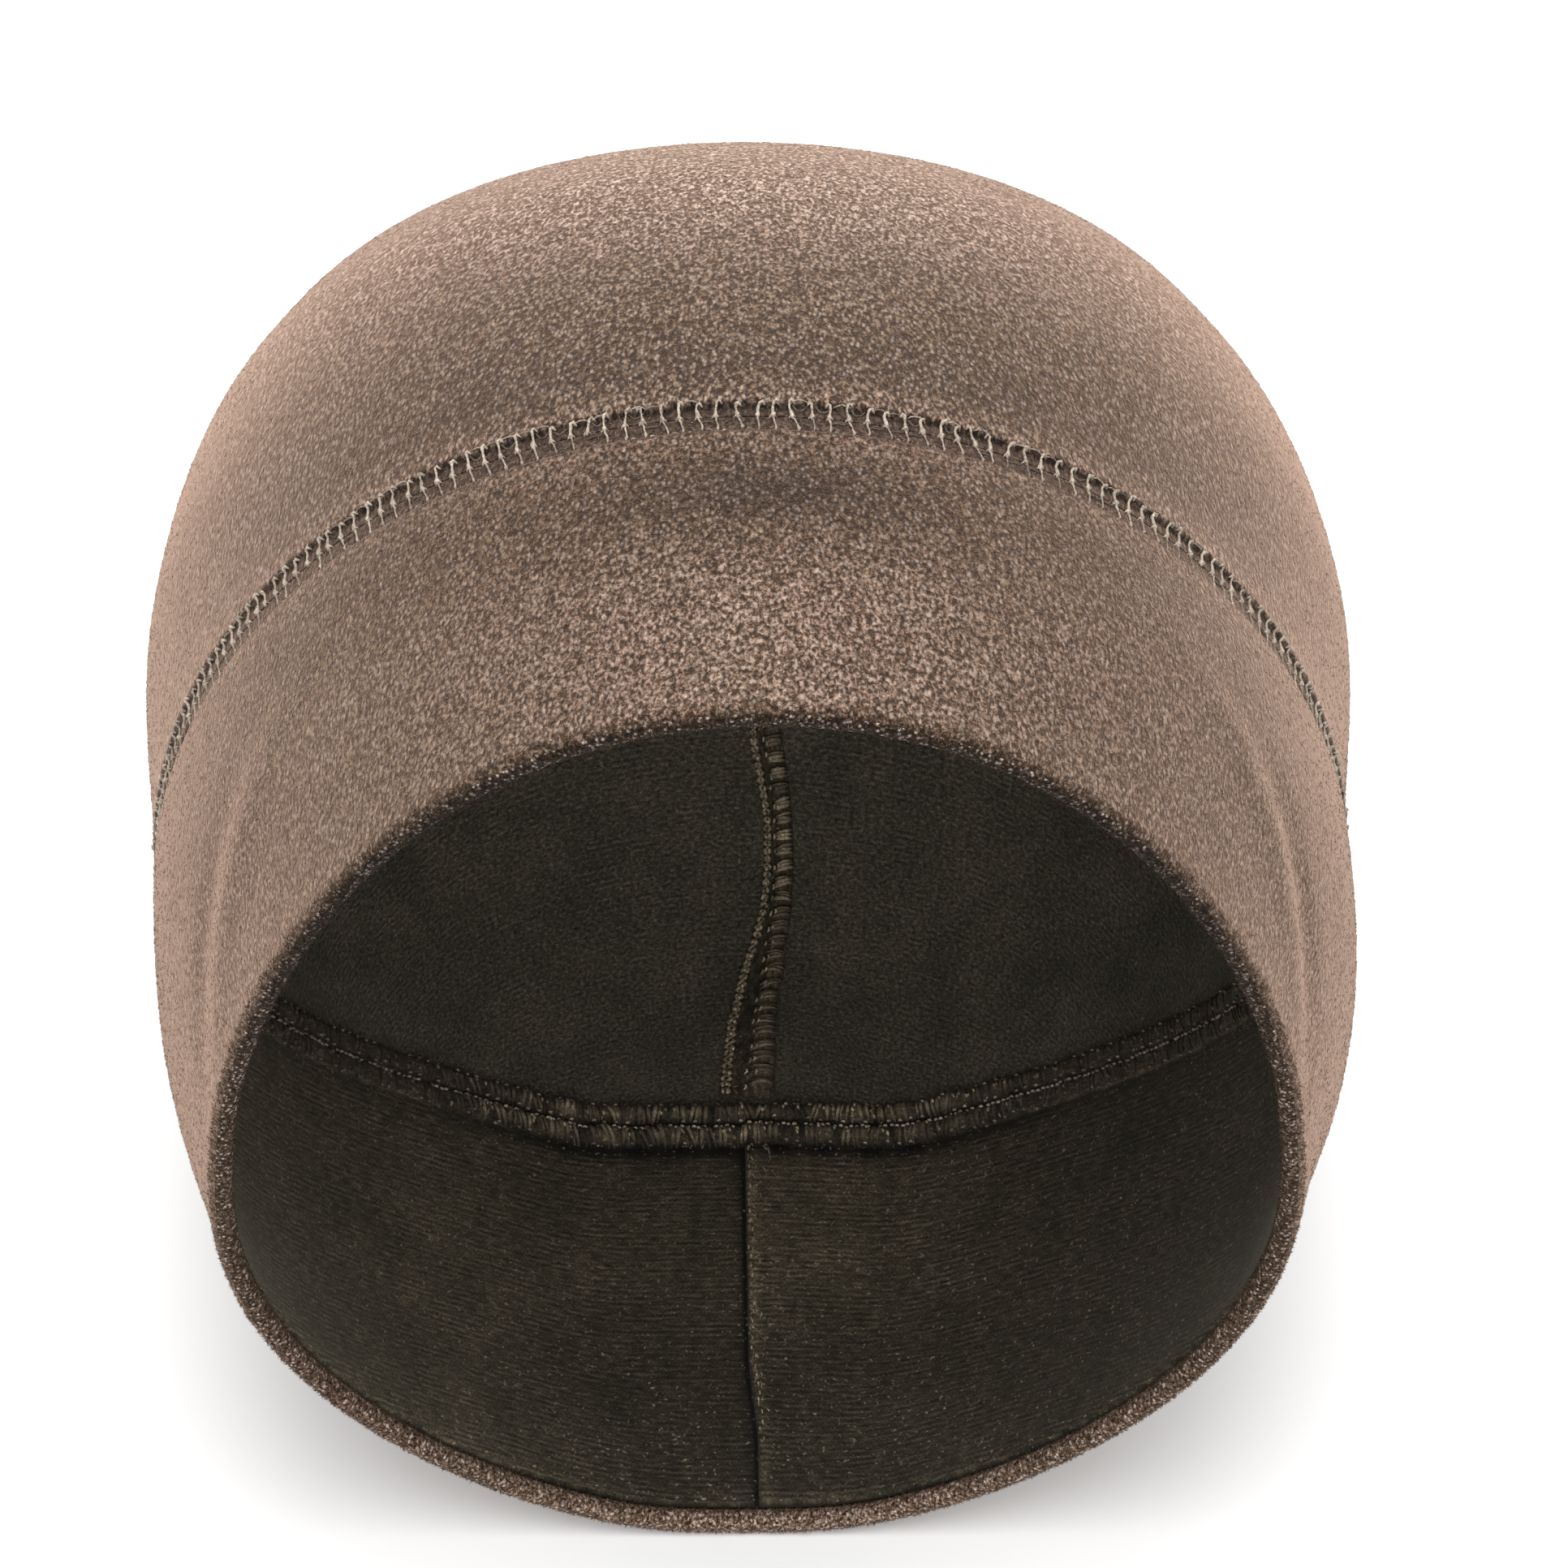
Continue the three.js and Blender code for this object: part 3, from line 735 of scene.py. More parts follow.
def channel_press_and_shade(up, turn):
    """How dark the pile is where the channel presses it flat, together with the painted shade there.

    The painted shade is darkest under the crown's edge, along the channel's foot, and at the front."""
    inside = (1 - smooth_step(up, 2.5, 2.9)) * smooth_step(up, -4.5, -4.0)
    # Painted shade: darker at the front, under the crown's edge and along the channel's foot.
    at_front = lerp(1, 0.8, smooth_step(degrees_from_front(turn), 40, 75))
    under_edge = 0.18 * smooth_step(up, -2.8, 0.0)
    along_foot = 0.3 * bump(up, -3.6, 0.4)
    return inside * at_front * (0.68 + under_edge + along_foot)


def grown_steps(count, growth):
    """Places from 0 to 1 whose steps grow by a ratio."""
    steps = growth ** np.arange(count)
    return np.concatenate([[0], np.cumsum(steps)]) / steps.sum()


def meridian_lengths(turns, climbs):
    """Millimetres along each column of climbs, from its first row."""
    points = skin(np.broadcast_to(turns, climbs.shape), climbs, 0)
    steps = np.linalg.norm(np.diff(points, axis=0), axis=-1)
    return np.concatenate([np.zeros((1, steps.shape[1])), np.cumsum(steps, axis=0)])


def painted_light(turn, climb):
    """Painted light and shade on the fleece: lighter at the rim and the top, darker round the ring seam."""
    round_front = degrees_from_front(turn)
    rim_light_bumps = sum(share * bump(round_front, middle, spread) for share, middle, spread in RIM_PAINTED_LIGHT)
    rim = 0.17 * rim_light_bumps * (1 - smooth_step(climb, 0.1, 0.21))
    crown = 0.275 * smooth_step(climb, 0.45, 0.66) - 0.03 * smooth_step(climb, 0.36, 0.42)
    top = 0.23 * smooth_step(climb, 0.45, 0.6) * (1 - smooth_step(climb, 0.8, 0.95))
    sides = 0.06 * smooth_step(round_front, 40, 65) * (1 - smooth_step(round_front, 100, 130))
    beside_front = 0.05 * bump(climb, 0.42, 0.1) * smooth_step(round_front, 8, 26)
    painted_light_share = PAINTED_LIGHT_LEVEL + rim + crown + top * bump(round_front, 0, 34) - sides - beside_front
    for patch in PAINTED_LIGHT_PATCHES:
        there = bump(round_front, *patch["front"]) if "front" in patch else 1
        painted_light_share = painted_light_share + patch["lift"] * bump(climb, *patch["climb"]) * there
    darkest_painted_light = lerp(0.04, 0.15, smooth_step(round_front, 30, 62))
    return np.maximum(painted_light_share, darkest_painted_light)


def rows_near_seam(reach):
    """Millimetres from the ring seam of close rows of points. The first two keep the cloth's edge crisp."""
    return np.concatenate([[SEAM_GAP / 2, SEAM_GAP / 2 + 0.05, 0.5], np.arange(0.9, reach, 0.3)])


def closed_wall(outer, inner):
    """Rows round a wall of cloth: those of its outside, those of its inside, and its first row again."""
    return np.concatenate([outer, inner, outer[:1]])


def seam_uv(along, rise):
    """Millimetres along the ring seam and above it, for each point of a grid."""
    return np.stack([np.broadcast_to(along, rise.shape), rise], axis=-1)


def crown_fleece(material):
    """The outside of the crown. Returns its outside points, painted light, and press and painted shade, for
    its fibres to grow on.
    """
    near_climbs = climb_by(COLUMN_TURNS, ring_seam_climb(COLUMN_TURNS), rows_near_seam(4.2)[:, None])
    far_climbs = lerp(near_climbs[-1], 1, grown_steps(64, 1.02)[1:, None])
    climbs = np.concatenate([near_climbs, far_climbs])
    up = meridian_lengths(COLUMN_TURNS, climbs) + SEAM_GAP / 2
    outer = skin(COLUMN_TURNS, climbs, channel_depth(up))
    inner = skin(COLUMN_TURNS, np.concatenate([climbs[::-4], climbs[:1]]), SHELL_WALL)
    inner_up = np.concatenate([up[::-4], up[:1]])
    painted_light_share = painted_light(COLUMN_TURNS, climbs)
    press_and_shade = channel_press_and_shade(up, COLUMN_TURNS)
    values = dict(painted_light=closed_wall(painted_light_share, 0.4 + 0 * inner_up), press_and_shade=closed_wall(press_and_shade, 0 * inner_up))
    uv = seam_uv(COLUMN_ALONG, closed_wall(up, inner_up))
    made = sheet_object("crown_fleece", closed_wall(outer, inner), uv, values)
    finish_piece(made, material, ["crown_shell"])
    return outer, painted_light_share, press_and_shade


def hem_painted_shade(around, turn):
    """Painted shade round the hem's bead towards the lining, which starts sooner at the front than at the
    back.
    """
    at_front = 0.8 * smooth_step(around, 0.06 * math.pi, 0.42 * math.pi)
    at_back = 0.35 * smooth_step(around, 0.75 * math.pi, 1.35 * math.pi)
    return 1 - lerp(at_front, at_back, smooth_step(degrees_from_front(turn), 45, 125))


def roll_hem(band, material):
    """Gives the hem's rolled edge its own finish."""
    mesh = band.data
    mesh.materials.append(material)
    around = np.empty(len(mesh.vertices), np.float32)
    mesh.attributes["hem"].data.foreach_get("value", around)
    for face in mesh.polygons:
        if min(around[point] for point in face.vertices) > HEM_START:
            face.material_index = 1


def band_fleece(material, hem_material):
    """The outside of the band, with its hem rolled round a bead. Returns what fibres grow on, of both."""
    rim = 0 * COLUMN_TURNS
    near_climbs = climb_by(COLUMN_TURNS, ring_seam_climb(COLUMN_TURNS), -rows_near_seam(5.4)[:, None])
    bead_foot = climb_by(COLUMN_TURNS, rim, HEM_RADIUS)
    far_climbs = lerp(near_climbs[-1], bead_foot, np.linspace(0, 1, 52)[1:, None])
    climbs = np.concatenate([near_climbs, far_climbs])
    up = -meridian_lengths(COLUMN_TURNS, climbs) - SEAM_GAP / 2
    outer = skin(COLUMN_TURNS, climbs, channel_depth(up))
    bead_end = 2.5 * math.pi - math.asin((HEM_RADIUS - SHELL_WALL) / HEM_RADIUS)
    angles = np.linspace(math.pi, bead_end, 17)[1:, None]
    bead_climbs = climb_by(COLUMN_TURNS, rim, HEM_RADIUS + HEM_RADIUS * np.sin(angles))
    bead = skin(COLUMN_TURNS, bead_climbs, HEM_RADIUS + HEM_RADIUS * np.cos(angles))
    inner_climbs = lerp(bead_climbs[-1], climbs[0], np.linspace(0, 1, 9)[1:, None])
    inner = skin(COLUMN_TURNS, inner_climbs, SHELL_WALL)
    outside_points = np.concatenate([outer, bead])
    bead_up = up[-1] - HEM_RADIUS * (angles - math.pi)
    inner_up = bead_up[-1] + 0 * inner_climbs
    around = np.concatenate([0 * up, angles - math.pi + 0 * bead_up])
    painted_light_share = painted_light(COLUMN_TURNS, np.concatenate([climbs, bead_climbs])) * hem_painted_shade(around, COLUMN_TURNS)
    press_and_shade = np.concatenate([channel_press_and_shade(up, COLUMN_TURNS), 0 * bead_up])
    values = dict(
        painted_light=closed_wall(painted_light_share, 0.3 + 0 * inner_up),
        press_and_shade=closed_wall(press_and_shade, 0 * inner_up),
        hem=closed_wall(around, 2 * math.pi + 0 * inner_up),
    )
    uv = seam_uv(COLUMN_ALONG, closed_wall(np.concatenate([up, bead_up]), inner_up))
    made = sheet_object("band_fleece", closed_wall(outside_points, inner), uv, values)
    roll_hem(finish_piece(made, material, ["band_shell"]), hem_material)
    band_pile = outside_points, painted_light_share, press_and_shade
    hem_pile = [grid[len(outer) - 1 :] for grid in band_pile]
    return band_pile, hem_pile


def scattered(points, values, count, source):
    """Places spread evenly over a grid of points, with two directions along it and its values there."""
    across = points[:-1, 1:] - points[:-1, :-1]
    upward = points[1:, :-1] - points[:-1, :-1]
    area = np.linalg.norm(np.cross(across, upward), axis=-1)
    cell = source.choice(area.size, count, p=area.ravel() / area.sum())
    row, column = np.unravel_index(cell, area.shape)
    rows, columns = source.random((2, count, 1))

    def between(grid):
        low = lerp(grid[row, column], grid[row, column + 1], columns)
        high = lerp(grid[row + 1, column], grid[row + 1, column + 1], columns)
        return lerp(low, high, rows)

    there = [between(value[..., None])[:, 0] for value in values]
    return between(points), across[row, column], upward[row, column], there


def fibre_piece(name, grown_on, kind, facing, seed, material):
    """Short fibres that lean out of the fleece, each a thin closed spike. facing is 1 or -1."""
    outer, *values = grown_on
    count = kind["count"]
    source = np.random.default_rng(seed)
    place, across, upward, (painted_light_share, press_and_shade) = scattered(outer, values, count, source)
    across = across / np.linalg.norm(across, axis=-1, keepdims=True)
    outward = np.cross(across, upward)
    outward = facing * outward / np.linalg.norm(outward, axis=-1, keepdims=True)
    ahead = np.cross(outward, across)
    turn = source.uniform(0, 2 * math.pi, (count, 1))
    heading = np.cos(turn) * across + np.sin(turn) * ahead
    sideways = np.cross(outward, heading)
    build = bmesh.new()
    bmesh.ops.create_cone(build, cap_ends=True, segments=3, radius1=1, radius2=0, depth=1)
    spike = np.array([vertex.co[:] for vertex in build.verts])
    faces = [[vertex.index for vertex in face.verts] for face in build.faces]
    build.free()
    length = source.uniform(*kind["length"], (count, 1, 1))
    rise = source.uniform(*kind["rise"], (count, 1, 1))
    width = source.uniform(*kind["width"], (count, 1, 1))
    along = spike[:, 2:] + 0.5
    thickness = FIBRE_FLATNESS * width * spike[:, :1]
    copies = (
        place[:, None]
        + heading[:, None] * length * along
        + sideways[:, None] * width * spike[:, 1:2]
        + outward[:, None] * (rise * along + thickness - FIBRE_ROOT)
    )
    copies[..., 2] -= np.minimum(copies[..., 2].min(axis=1, keepdims=True), 0)
    shade = np.clip(source.normal(FIBRE_SHADE, kind["contrast"], count), 0, 1)
    # The fibres take the fleece's painted light, and its pressing and painted shade, where they grow.
    made = joined_object(name, [(copies, faces, dict(shade=shade, painted_light=painted_light_share, press_and_shade=press_and_shade))])
    return finish_piece(made, material)


# The lining. Its outside, which the fleece hides, has fewer rows.
LINING_COLUMNS = 240


def crown_jersey(material):
    """The crown's lining, knitted in rings round its top, painted a little darker on the right than on the
    left.
    """
    turns = np.linspace(-math.pi, math.pi, LINING_COLUMNS + 1)
    foot = climb_by(turns, ring_seam_climb(turns), SEAM_GAP / 2)
    climbs = lerp(foot, 1, np.linspace(0, 1, 61)[:, None])
    up = meridian_lengths(turns, climbs)
    outer = skin(turns, climbs[::4], LINING_TOP)
    inner = skin(turns, climbs[::-1], LINING_INSIDE)
    from_top = up[-1].mean() - closed_wall(up[::4], up[::-1])
    uv = np.stack([from_top * np.sin(turns), -from_top * np.cos(turns)], axis=-1)
    # Painted light: the lining is lighter towards the left.
    to_left = smooth_step(np.degrees(np.mod(turns, 2 * math.pi)) - 180, 15, 50)
    shade = 0.82 + 0.16 * to_left + 0 * from_top
    made = sheet_object("crown_jersey", closed_wall(outer, inner), uv, dict(shade=shade))
    return finish_piece(made, material, ["crown_lining"])


def band_jersey_shade(turns, along, fall):
    """Painted light and shade on the band's lining: at its lapped join, under the ring seam, and across its
    middle.
    """
    from_step = from_lap(turns, fall)
    left = from_step < 0
    # Painted shadow left of the lap's step, and a painted highlight on the lapped edge to its right.
    lap_step_shadow = 0.9 * bump(from_step, -0.35, 0.5) + 0.5 * left * bump(from_step, -0.6, 1.7)
    lap_edge_highlight = (1 - left) * (0.85 * (1 - smooth_step(from_step, 1.2, 3.0)) + 0.12 * (from_step < LAP_FADE))
    # Painted shadow below the ring seam's ridge, fainter towards the sides.
    below_ridge = -fall - RING_RIDGE_HALF_WIDTH
    uneven_edge = np.clip(0.92 + 0.1 * uneven(along, RING_LENGTH, 7), 0, 1)
    shadow = (1 - smooth_step(below_ridge, 0.5, 3.8)) * uneven_edge * lerp(0.3, 1, back_fullness_and_light(along))
    # Painted shade: darker in the middle towards the hem, lighter on the left and darker on the right.
    to_left = np.degrees(turns) - 180
    painted_middle_shade = 1 - 0.5 * smooth_step(-fall, 20, 55) * bump(to_left, 0, 38)
    painted_middle_shade = painted_middle_shade * (1 + 0.15 * smooth_step(to_left, 12, 40) - 0.34 * smooth_step(-to_left, 15, 45))
    return 0.6 * painted_middle_shade * (1 + lap_edge_highlight) * (1 - np.clip(lap_step_shadow, 0, 0.95)) * (1 - shadow)


def band_jersey(material):
    """The band's lining, with close columns of points at its lapped join."""
    at_lap = turn_at_back(LAP_PLACE) - np.arange(-3, 7, 0.16) / HALF_WIDTH
    turns = np.sort(np.concatenate([np.linspace(0, 2 * math.pi, LINING_COLUMNS + 1), at_lap]))
    along = np.interp(turns, np.concatenate([RING_TURNS, RING_TURNS[1:] + 2 * math.pi]),
                      np.concatenate([RING_ALONG, RING_ALONG[1:] + RING_LENGTH]))
    foot = climb_by(turns, 0 * turns, 2 * HEM_RADIUS + SEAM_GAP)
    near = -np.array([SEAM_GAP / 2, 4.0, 5.0, 5.4, 5.8, 6.2, 6.7, 7.3, 8.0])
    near_climbs = climb_by(turns, ring_seam_climb(turns), near[:, None])
    climbs = np.concatenate([near_climbs, lerp(near_climbs[-1], foot, np.linspace(0, 1, 33)[1:, None])])
    down = meridian_lengths(turns, climbs)
    outer = skin(turns, climbs[::5], LINING_TOP)
    inner = skin(turns, climbs[::-1], LINING_INSIDE + lap_thickness(turns, -down[::-1]))
    fall = -closed_wall(down[::5], down[::-1])
    values = dict(shade=band_jersey_shade(turns, along, fall))
    made = sheet_object("band_jersey", closed_wall(outer, inner), seam_uv(along, fall), values)
    return finish_piece(made, material, ["band_lining"])


# Stitches. A short thread's shape has columns in millimetres: along the seam, up from it or to its right,
# the lift off the cloth, and the radius.
LADDER_PITCH = 2.5
LADDER_STEM = dict(
    along=[0.86, 0.54, 0.20, 0.05, 0.00, 0.00, 0.02, 0.05],
    up=[2.44, 2.64, 2.50, 2.00, 1.32, 0.60, 0.00, -0.50],
    lift=[-0.10, 0.26, 0.32, 0.30, 0.30, 0.34, 0.40, 0.10],
    radius=[0.14, 0.26, 0.26, 0.20, 0.19, 0.23, 0.36, 0.14],
)
LADDER_TAIL = dict(
    along=[0.02, 0.12, 0.22, 0.30, 0.32, 0.26],
    up=[-0.20, -0.85, -1.45, -2.05, -2.60, -3.00],
    lift=[0.20, 0.26, 0.22, 0.20, 0.20, -0.15],
    radius=[0.15, 0.16, 0.12, 0.13, 0.21, 0.09],
)
LADDER_ARM = dict(
    along=[-0.52, -0.36, -0.13, 0.13, 0.36, 0.50],
    up=[-0.34, -0.22, -0.05, 0.02, -0.02, -0.12],
    lift=[-0.05, 0.20, 0.36, 0.36, 0.20, -0.05],
    radius=[0.06, 0.14, 0.2, 0.2, 0.14, 0.06],
)
LADDER_ARC = dict(
    along=[0.50, 0.85, 1.20, 1.55, 1.95, 2.50],
    up=[2.20, 1.60, 1.25, 1.30, 1.60, 2.10],
    lift=[0.14, 0.12, 0.10, 0.10, 0.12, 0.14],
    radius=[0.12, 0.13, 0.12, 0.12, 0.13, 0.12],
)
LADDER_SCALLOP = dict(
    along=[0.30, 0.80, 1.40, 2.00, 2.50, 2.80],
    up=[2.40, 2.62, 2.72, 2.70, 2.60, 2.40],
    lift=[0.00, 0.06, 0.09, 0.09, 0.06, 0.00],
    radius=[0.07, 0.11, 0.12, 0.12, 0.11, 0.07],
)
LADDER_LINK = dict(
    along=[0.10, 0.65, 1.20, 1.80, 2.45],
    up=[-1.30, -1.05, -1.00, -1.05, -0.70],
    lift=[0.06, 0.12, 0.14, 0.12, 0.08],
    radius=[0.11, 0.13, 0.13, 0.13, 0.11],
)
LADDER_FOOT = dict(
    along=[0.75, 1.00, 1.30, 1.60],
    up=[-2.98, -2.80, -2.82, -3.00],
    lift=[-0.12, 0.08, 0.08, -0.12],
    radius=[0.06, 0.13, 0.13, 0.06],
)
# Height of a thread's middle where the cap lies on it.
PRESSED_THREAD = 0.3
# Each shape with the share of places where it shows, its shade, and how much that varies.
LADDER_THREADS = [
    (LADDER_STEM, 1.0, 0.82, 0.1),
    (LADDER_TAIL, 0.94, 0.58, 0.18),
    (LADDER_ARM, 0.8, 0.74, 0.14),
    (LADDER_ARC, 0.2, 0.03, 0.05),
    (LADDER_SCALLOP, 0.65, 0.4, 0.18),
    (LADDER_LINK, 0.3, 0.04, 0.06),
    (LADDER_FOOT, 0.65, 0.4, 0.2),
]
# How much a stitch strays from its place, in millimetres, and the least and most of its thickness.
THREAD_STRAY = 0.035
THREAD_THICKNESS = (0.7, 1.5)


def even_places(length, pitch, source, jitter):
    """Places along a seam, evenly spaced but for a little jitter."""
    count = round(length / pitch)
    return (np.arange(count) + 0.5) * length / count + source.normal(0, jitter, count)


def uneven(along, length, seed):
    """A smooth swell between about -1 and 1 that meets itself after some length."""
    source = np.random.default_rng(seed)
    swell = 0 * along
    for cycles in source.integers(16, 110, 7):
        swell = swell + np.sin(2 * math.pi * (cycles * along / length + source.random()))
    return swell / 2.6


def ladder_strands(shape, places, stretch, lean, hook):
    """Copies of a short thread along the ring seam. stretch, lean and hook have one value for each copy."""
    up = np.array(shape["up"]) * stretch[:, None]
    along = places[:, None] + hook[:, None] * np.array(shape["along"]) + lean[:, None] * up
    return ring_place(along, up, channel_depth(up) - np.array(shape["lift"]))


def ladder_stitches(material):
    """The ladder on the outside of the ring seam: hooked and knotted rungs, and thin loops between them."""
    source = np.random.default_rng(11)
    places = even_places(RING_LENGTH, LADDER_PITCH, source, 0.13)
    stretch = source.uniform(0.9, 1.06, len(places))
    lean = source.normal(0, 0.08, len(places))
    hooks = np.where(source.random(len(places)) < 0.7, 1.0, -0.8)
    groups = []
    for shape, share, shade, spread in LADDER_THREADS:
        kept = source.random(len(places)) < share
        hook = hooks[kept] if shape is LADDER_STEM else np.ones(kept.sum())
        strands = ladder_strands(shape, places[kept], stretch[kept], lean[kept], hook)
        strands = strands + source.normal(0, THREAD_STRAY, strands.shape)
        strands[..., 2] = np.maximum(strands[..., 2], PRESSED_THREAD)
        thickness = np.clip(source.normal(1, 0.16, strands.shape[:2]), *THREAD_THICKNESS)
        radii = np.array(shape["radius"]) * thickness
        # Painted highlight: the thicker heads and knots are lighter than the rest.
        shades = source.normal(shade, spread, (len(strands), 1)) * (0.6 + 0.4 * radii / radii.max())
        groups.append((strands, radii, np.clip(shades, 0, 1)))
    return thread_piece("ladder_stitches", groups, material)


# The ring seam's allowance inside: a padded double ridge, wrapped in overlock loops. Its crests stand off
# the middle of the groove between them, and the whole lies a little below the seam.
LOOP_PITCH = 1.95
LOOP_COUNT = round(RING_LENGTH / LOOP_PITCH)
RIDGE_CREST = 2.3
RIDGE_ROUND = 2.0
RIDGE_DROP = 0.9
GROOVE_SHARE = 0.25
RIDGE_STEP = 0.48
RIDGE_ROWS = 27
# How far an edge is sunk into the lining, so that it doesn't show.
SUNK = -0.1


def back_fullness_and_light(along):
    """1 at the back of the ring seam, where its ridges stand full and their painted light and shade is
    strongest, and 0 where they lie flatter.
    """
    from_back = 180 - degrees_from_front(turn_along(along))
    return 1 - smooth_step(from_back, 18, 42)


def ridge_height(along, up):
    """Height of the double ridge above the lining, pinched between its loops."""
    full = back_fullness_and_light(along)
    up = up + RIDGE_DROP
    side = np.where(up > 0, 1, -1)
    from_crest = (np.abs(up) - RIDGE_CREST) / RIDGE_ROUND
    dome = np.sqrt(np.clip(1 - from_crest**2, 0, 1))
    pinch = 0.5 - 0.5 * np.cos(2 * math.pi * (LOOP_COUNT * along / RING_LENGTH + 0.25 * side - 0.08 * up))
    swell = np.where(up > 0, uneven(along, RING_LENGTH, 5), uneven(along, RING_LENGTH, 6))
    crests = dome * (0.6 + 0.32 * pinch) * (1 + 0.24 * swell)
    groove = GROOVE_SHARE * (np.abs(up) < RIDGE_CREST)
    rise = RING_RIDGE_HEIGHT * lerp(0.55, 1, full) * np.clip(np.maximum(crests, groove), 0, 1)
    return np.where(rise > 0.05, rise, SUNK)


def inside_depth(along, up, rise):
    """Depth of what lies on the lining at the ring seam."""
    lap = lap_thickness(turn_along(along), up) * (1 - smooth_step(up, -0.5, 2.5))
    return LINING_INSIDE + lap + rise


def ring_allowance(material):
    """The cloth of the ring seam's double ridge."""
    along = np.linspace(0, RING_LENGTH, round(RING_LENGTH / RIDGE_STEP) + 1)[:, None]
    up = RING_RIDGE_HALF_WIDTH * np.concatenate([
        np.sin(np.linspace(-0.5, 0.5, RIDGE_ROWS) * math.pi),
        np.linspace(1, -1, 5)[1:],
    ])
    rise = ridge_height(along, up)
    rise[:, RIDGE_ROWS:] = SUNK
    rise[:, 0] = SUNK
    points = ring_place(along + 0 * up, up + 0 * along, inside_depth(along, up, rise))
    points[-1] = points[0]
    uv = np.stack(np.broadcast_arrays(along, up), axis=-1)
    # Painted shade in the groove and painted light on the crests at the back, an even mid tone towards the
    # sides.
    shade = lerp(0.5, 0.06 + 0.28 * np.clip(rise, 0, 2) ** 2, back_fullness_and_light(along))
    made = sheet_object("ring_seam_allowance_cloth", points, uv, dict(shade=shade))
    return finish_piece(made, material, ["ring_seam_allowance"])


LOOP_SWEEP = np.linspace(0, math.pi, 9)
LOOP_KNOT = dict(
    along=[0.0, 0.05, 0.12, 0.16],
    up=[-0.4, -0.14, 0.14, 0.4],
    lift=[0.0, 0.18, 0.18, 0.0],
    radius=[0.08, 0.22, 0.22, 0.08],
)


def ring_ridge_loops(side, source):
    """Pairs of overlock loops over one ridge of the ring seam, the upper one at side 1."""
    places = (np.arange(LOOP_COUNT) - 0.25 * side) * RING_LENGTH / LOOP_COUNT
    places = places + source.normal(0, 0.22, LOOP_COUNT)
    reach = source.uniform(0.78, 1.06, LOOP_COUNT)[:, None]
    slant = source.normal(0.2, 0.36, LOOP_COUNT)[:, None]
    across = -np.cos(LOOP_SWEEP) * (RIDGE_ROUND + 0.05) * reach
    up = side * RIDGE_CREST - RIDGE_DROP + across
    along = places[:, None] + slant * across / RIDGE_ROUND
    height = ridge_height(along, up) + 0.1
    height[:, [0, -1]] = 0
    full = back_fullness_and_light(places)
    shade = 0.15 + source.gamma(1.2, 0.21, LOOP_COUNT) + 0.12 * uneven(places, RING_LENGTH, 8)
    # Painted shade: the loops are darker towards the sides of the seam.
    shade = lerp(0.06, shade, full)
    groups = []
    for offset in (-0.48, 0.48):
        kept = source.random(LOOP_COUNT) < lerp(0.6, 1, full)
        strand = along + offset + source.normal(0, 0.1, (LOOP_COUNT, 1))
        loops = ring_place(strand, up, inside_depth(strand, up, height))
        thickness = source.uniform(0.75, 1.25, (LOOP_COUNT, 1)) * lerp(0.6, 1, full)[:, None]
        radii = (0.1 + 0.25 * np.sin(LOOP_SWEEP)) * thickness
        of_loop = shade + source.normal(0, 0.1, LOOP_COUNT) * full
        # Painted highlight on each loop's middle, and painted shade at its ends.
        shades = of_loop[:, None] * (0.1 + 0.9 * np.sin(LOOP_SWEEP) ** 4)
        shades = shades * source.uniform(0.55, 1.2, shades.shape)
        groups.append((loops[kept], radii[kept], np.clip(shades[kept], 0, 1)))
    return groups


def ring_ridge_knots(side, source):
    """Small pale knots among the loops of one ridge."""
    along = source.uniform(0, RING_LENGTH, (LOOP_COUNT, 1)) + np.array(LOOP_KNOT["along"])
    middle = side * RIDGE_CREST - RIDGE_DROP + source.normal(0.4, 0.7, (LOOP_COUNT, 1))
    up = middle + np.array(LOOP_KNOT["up"])
    rise = ridge_height(along, up) + np.array(LOOP_KNOT["lift"])
    knots = ring_place(along, up, inside_depth(along, up, rise))
    radii = np.array(LOOP_KNOT["radius"]) * source.uniform(0.7, 1.4, (LOOP_COUNT, 1))
    # Painted shade: the knots are dimmer towards the sides of the seam.
    shades = np.clip(source.normal(0.65, 0.35, LOOP_COUNT), 0.1, 1) * lerp(0.2, 1, back_fullness_and_light(along[:, 0]))
    return knots, radii, shades


def ring_loops(material):
    """The overlock loops over both ridges of the ring seam, and their knots."""
    source = np.random.default_rng(23)
    groups = []
    for side in (1, -1):
        groups.extend(ring_ridge_loops(side, source))
        groups.append(ring_ridge_knots(side, source))
    return thread_piece("ring_seam_loops", groups, material)


NEEDLE_DASH = dict(
    along=[-0.34, -0.17, 0.08, 0.30],
    up=[-0.05, 0.0, 0.03, 0.0],
    lift=[-0.05, 0.20, 0.22, -0.05],
    radius=[0.16, 0.30, 0.28, 0.14],
)
# Rows of needle stitches: millimetres above the seam, pitch, size, shade and the share that shows.
NEEDLE_ROWS = [
    dict(up=3.1, pitch=LOOP_PITCH, size=0.85, shade=0.6, share=0.6),
    dict(up=-0.3, pitch=LOOP_PITCH, size=0.85, shade=0.6, share=0.6),
    dict(up=-1.5, pitch=LOOP_PITCH / 2, size=1.02, shade=1.0, share=0.88),
    dict(up=-5.0, pitch=LOOP_PITCH, size=0.7, shade=0.3, share=0.5),
]


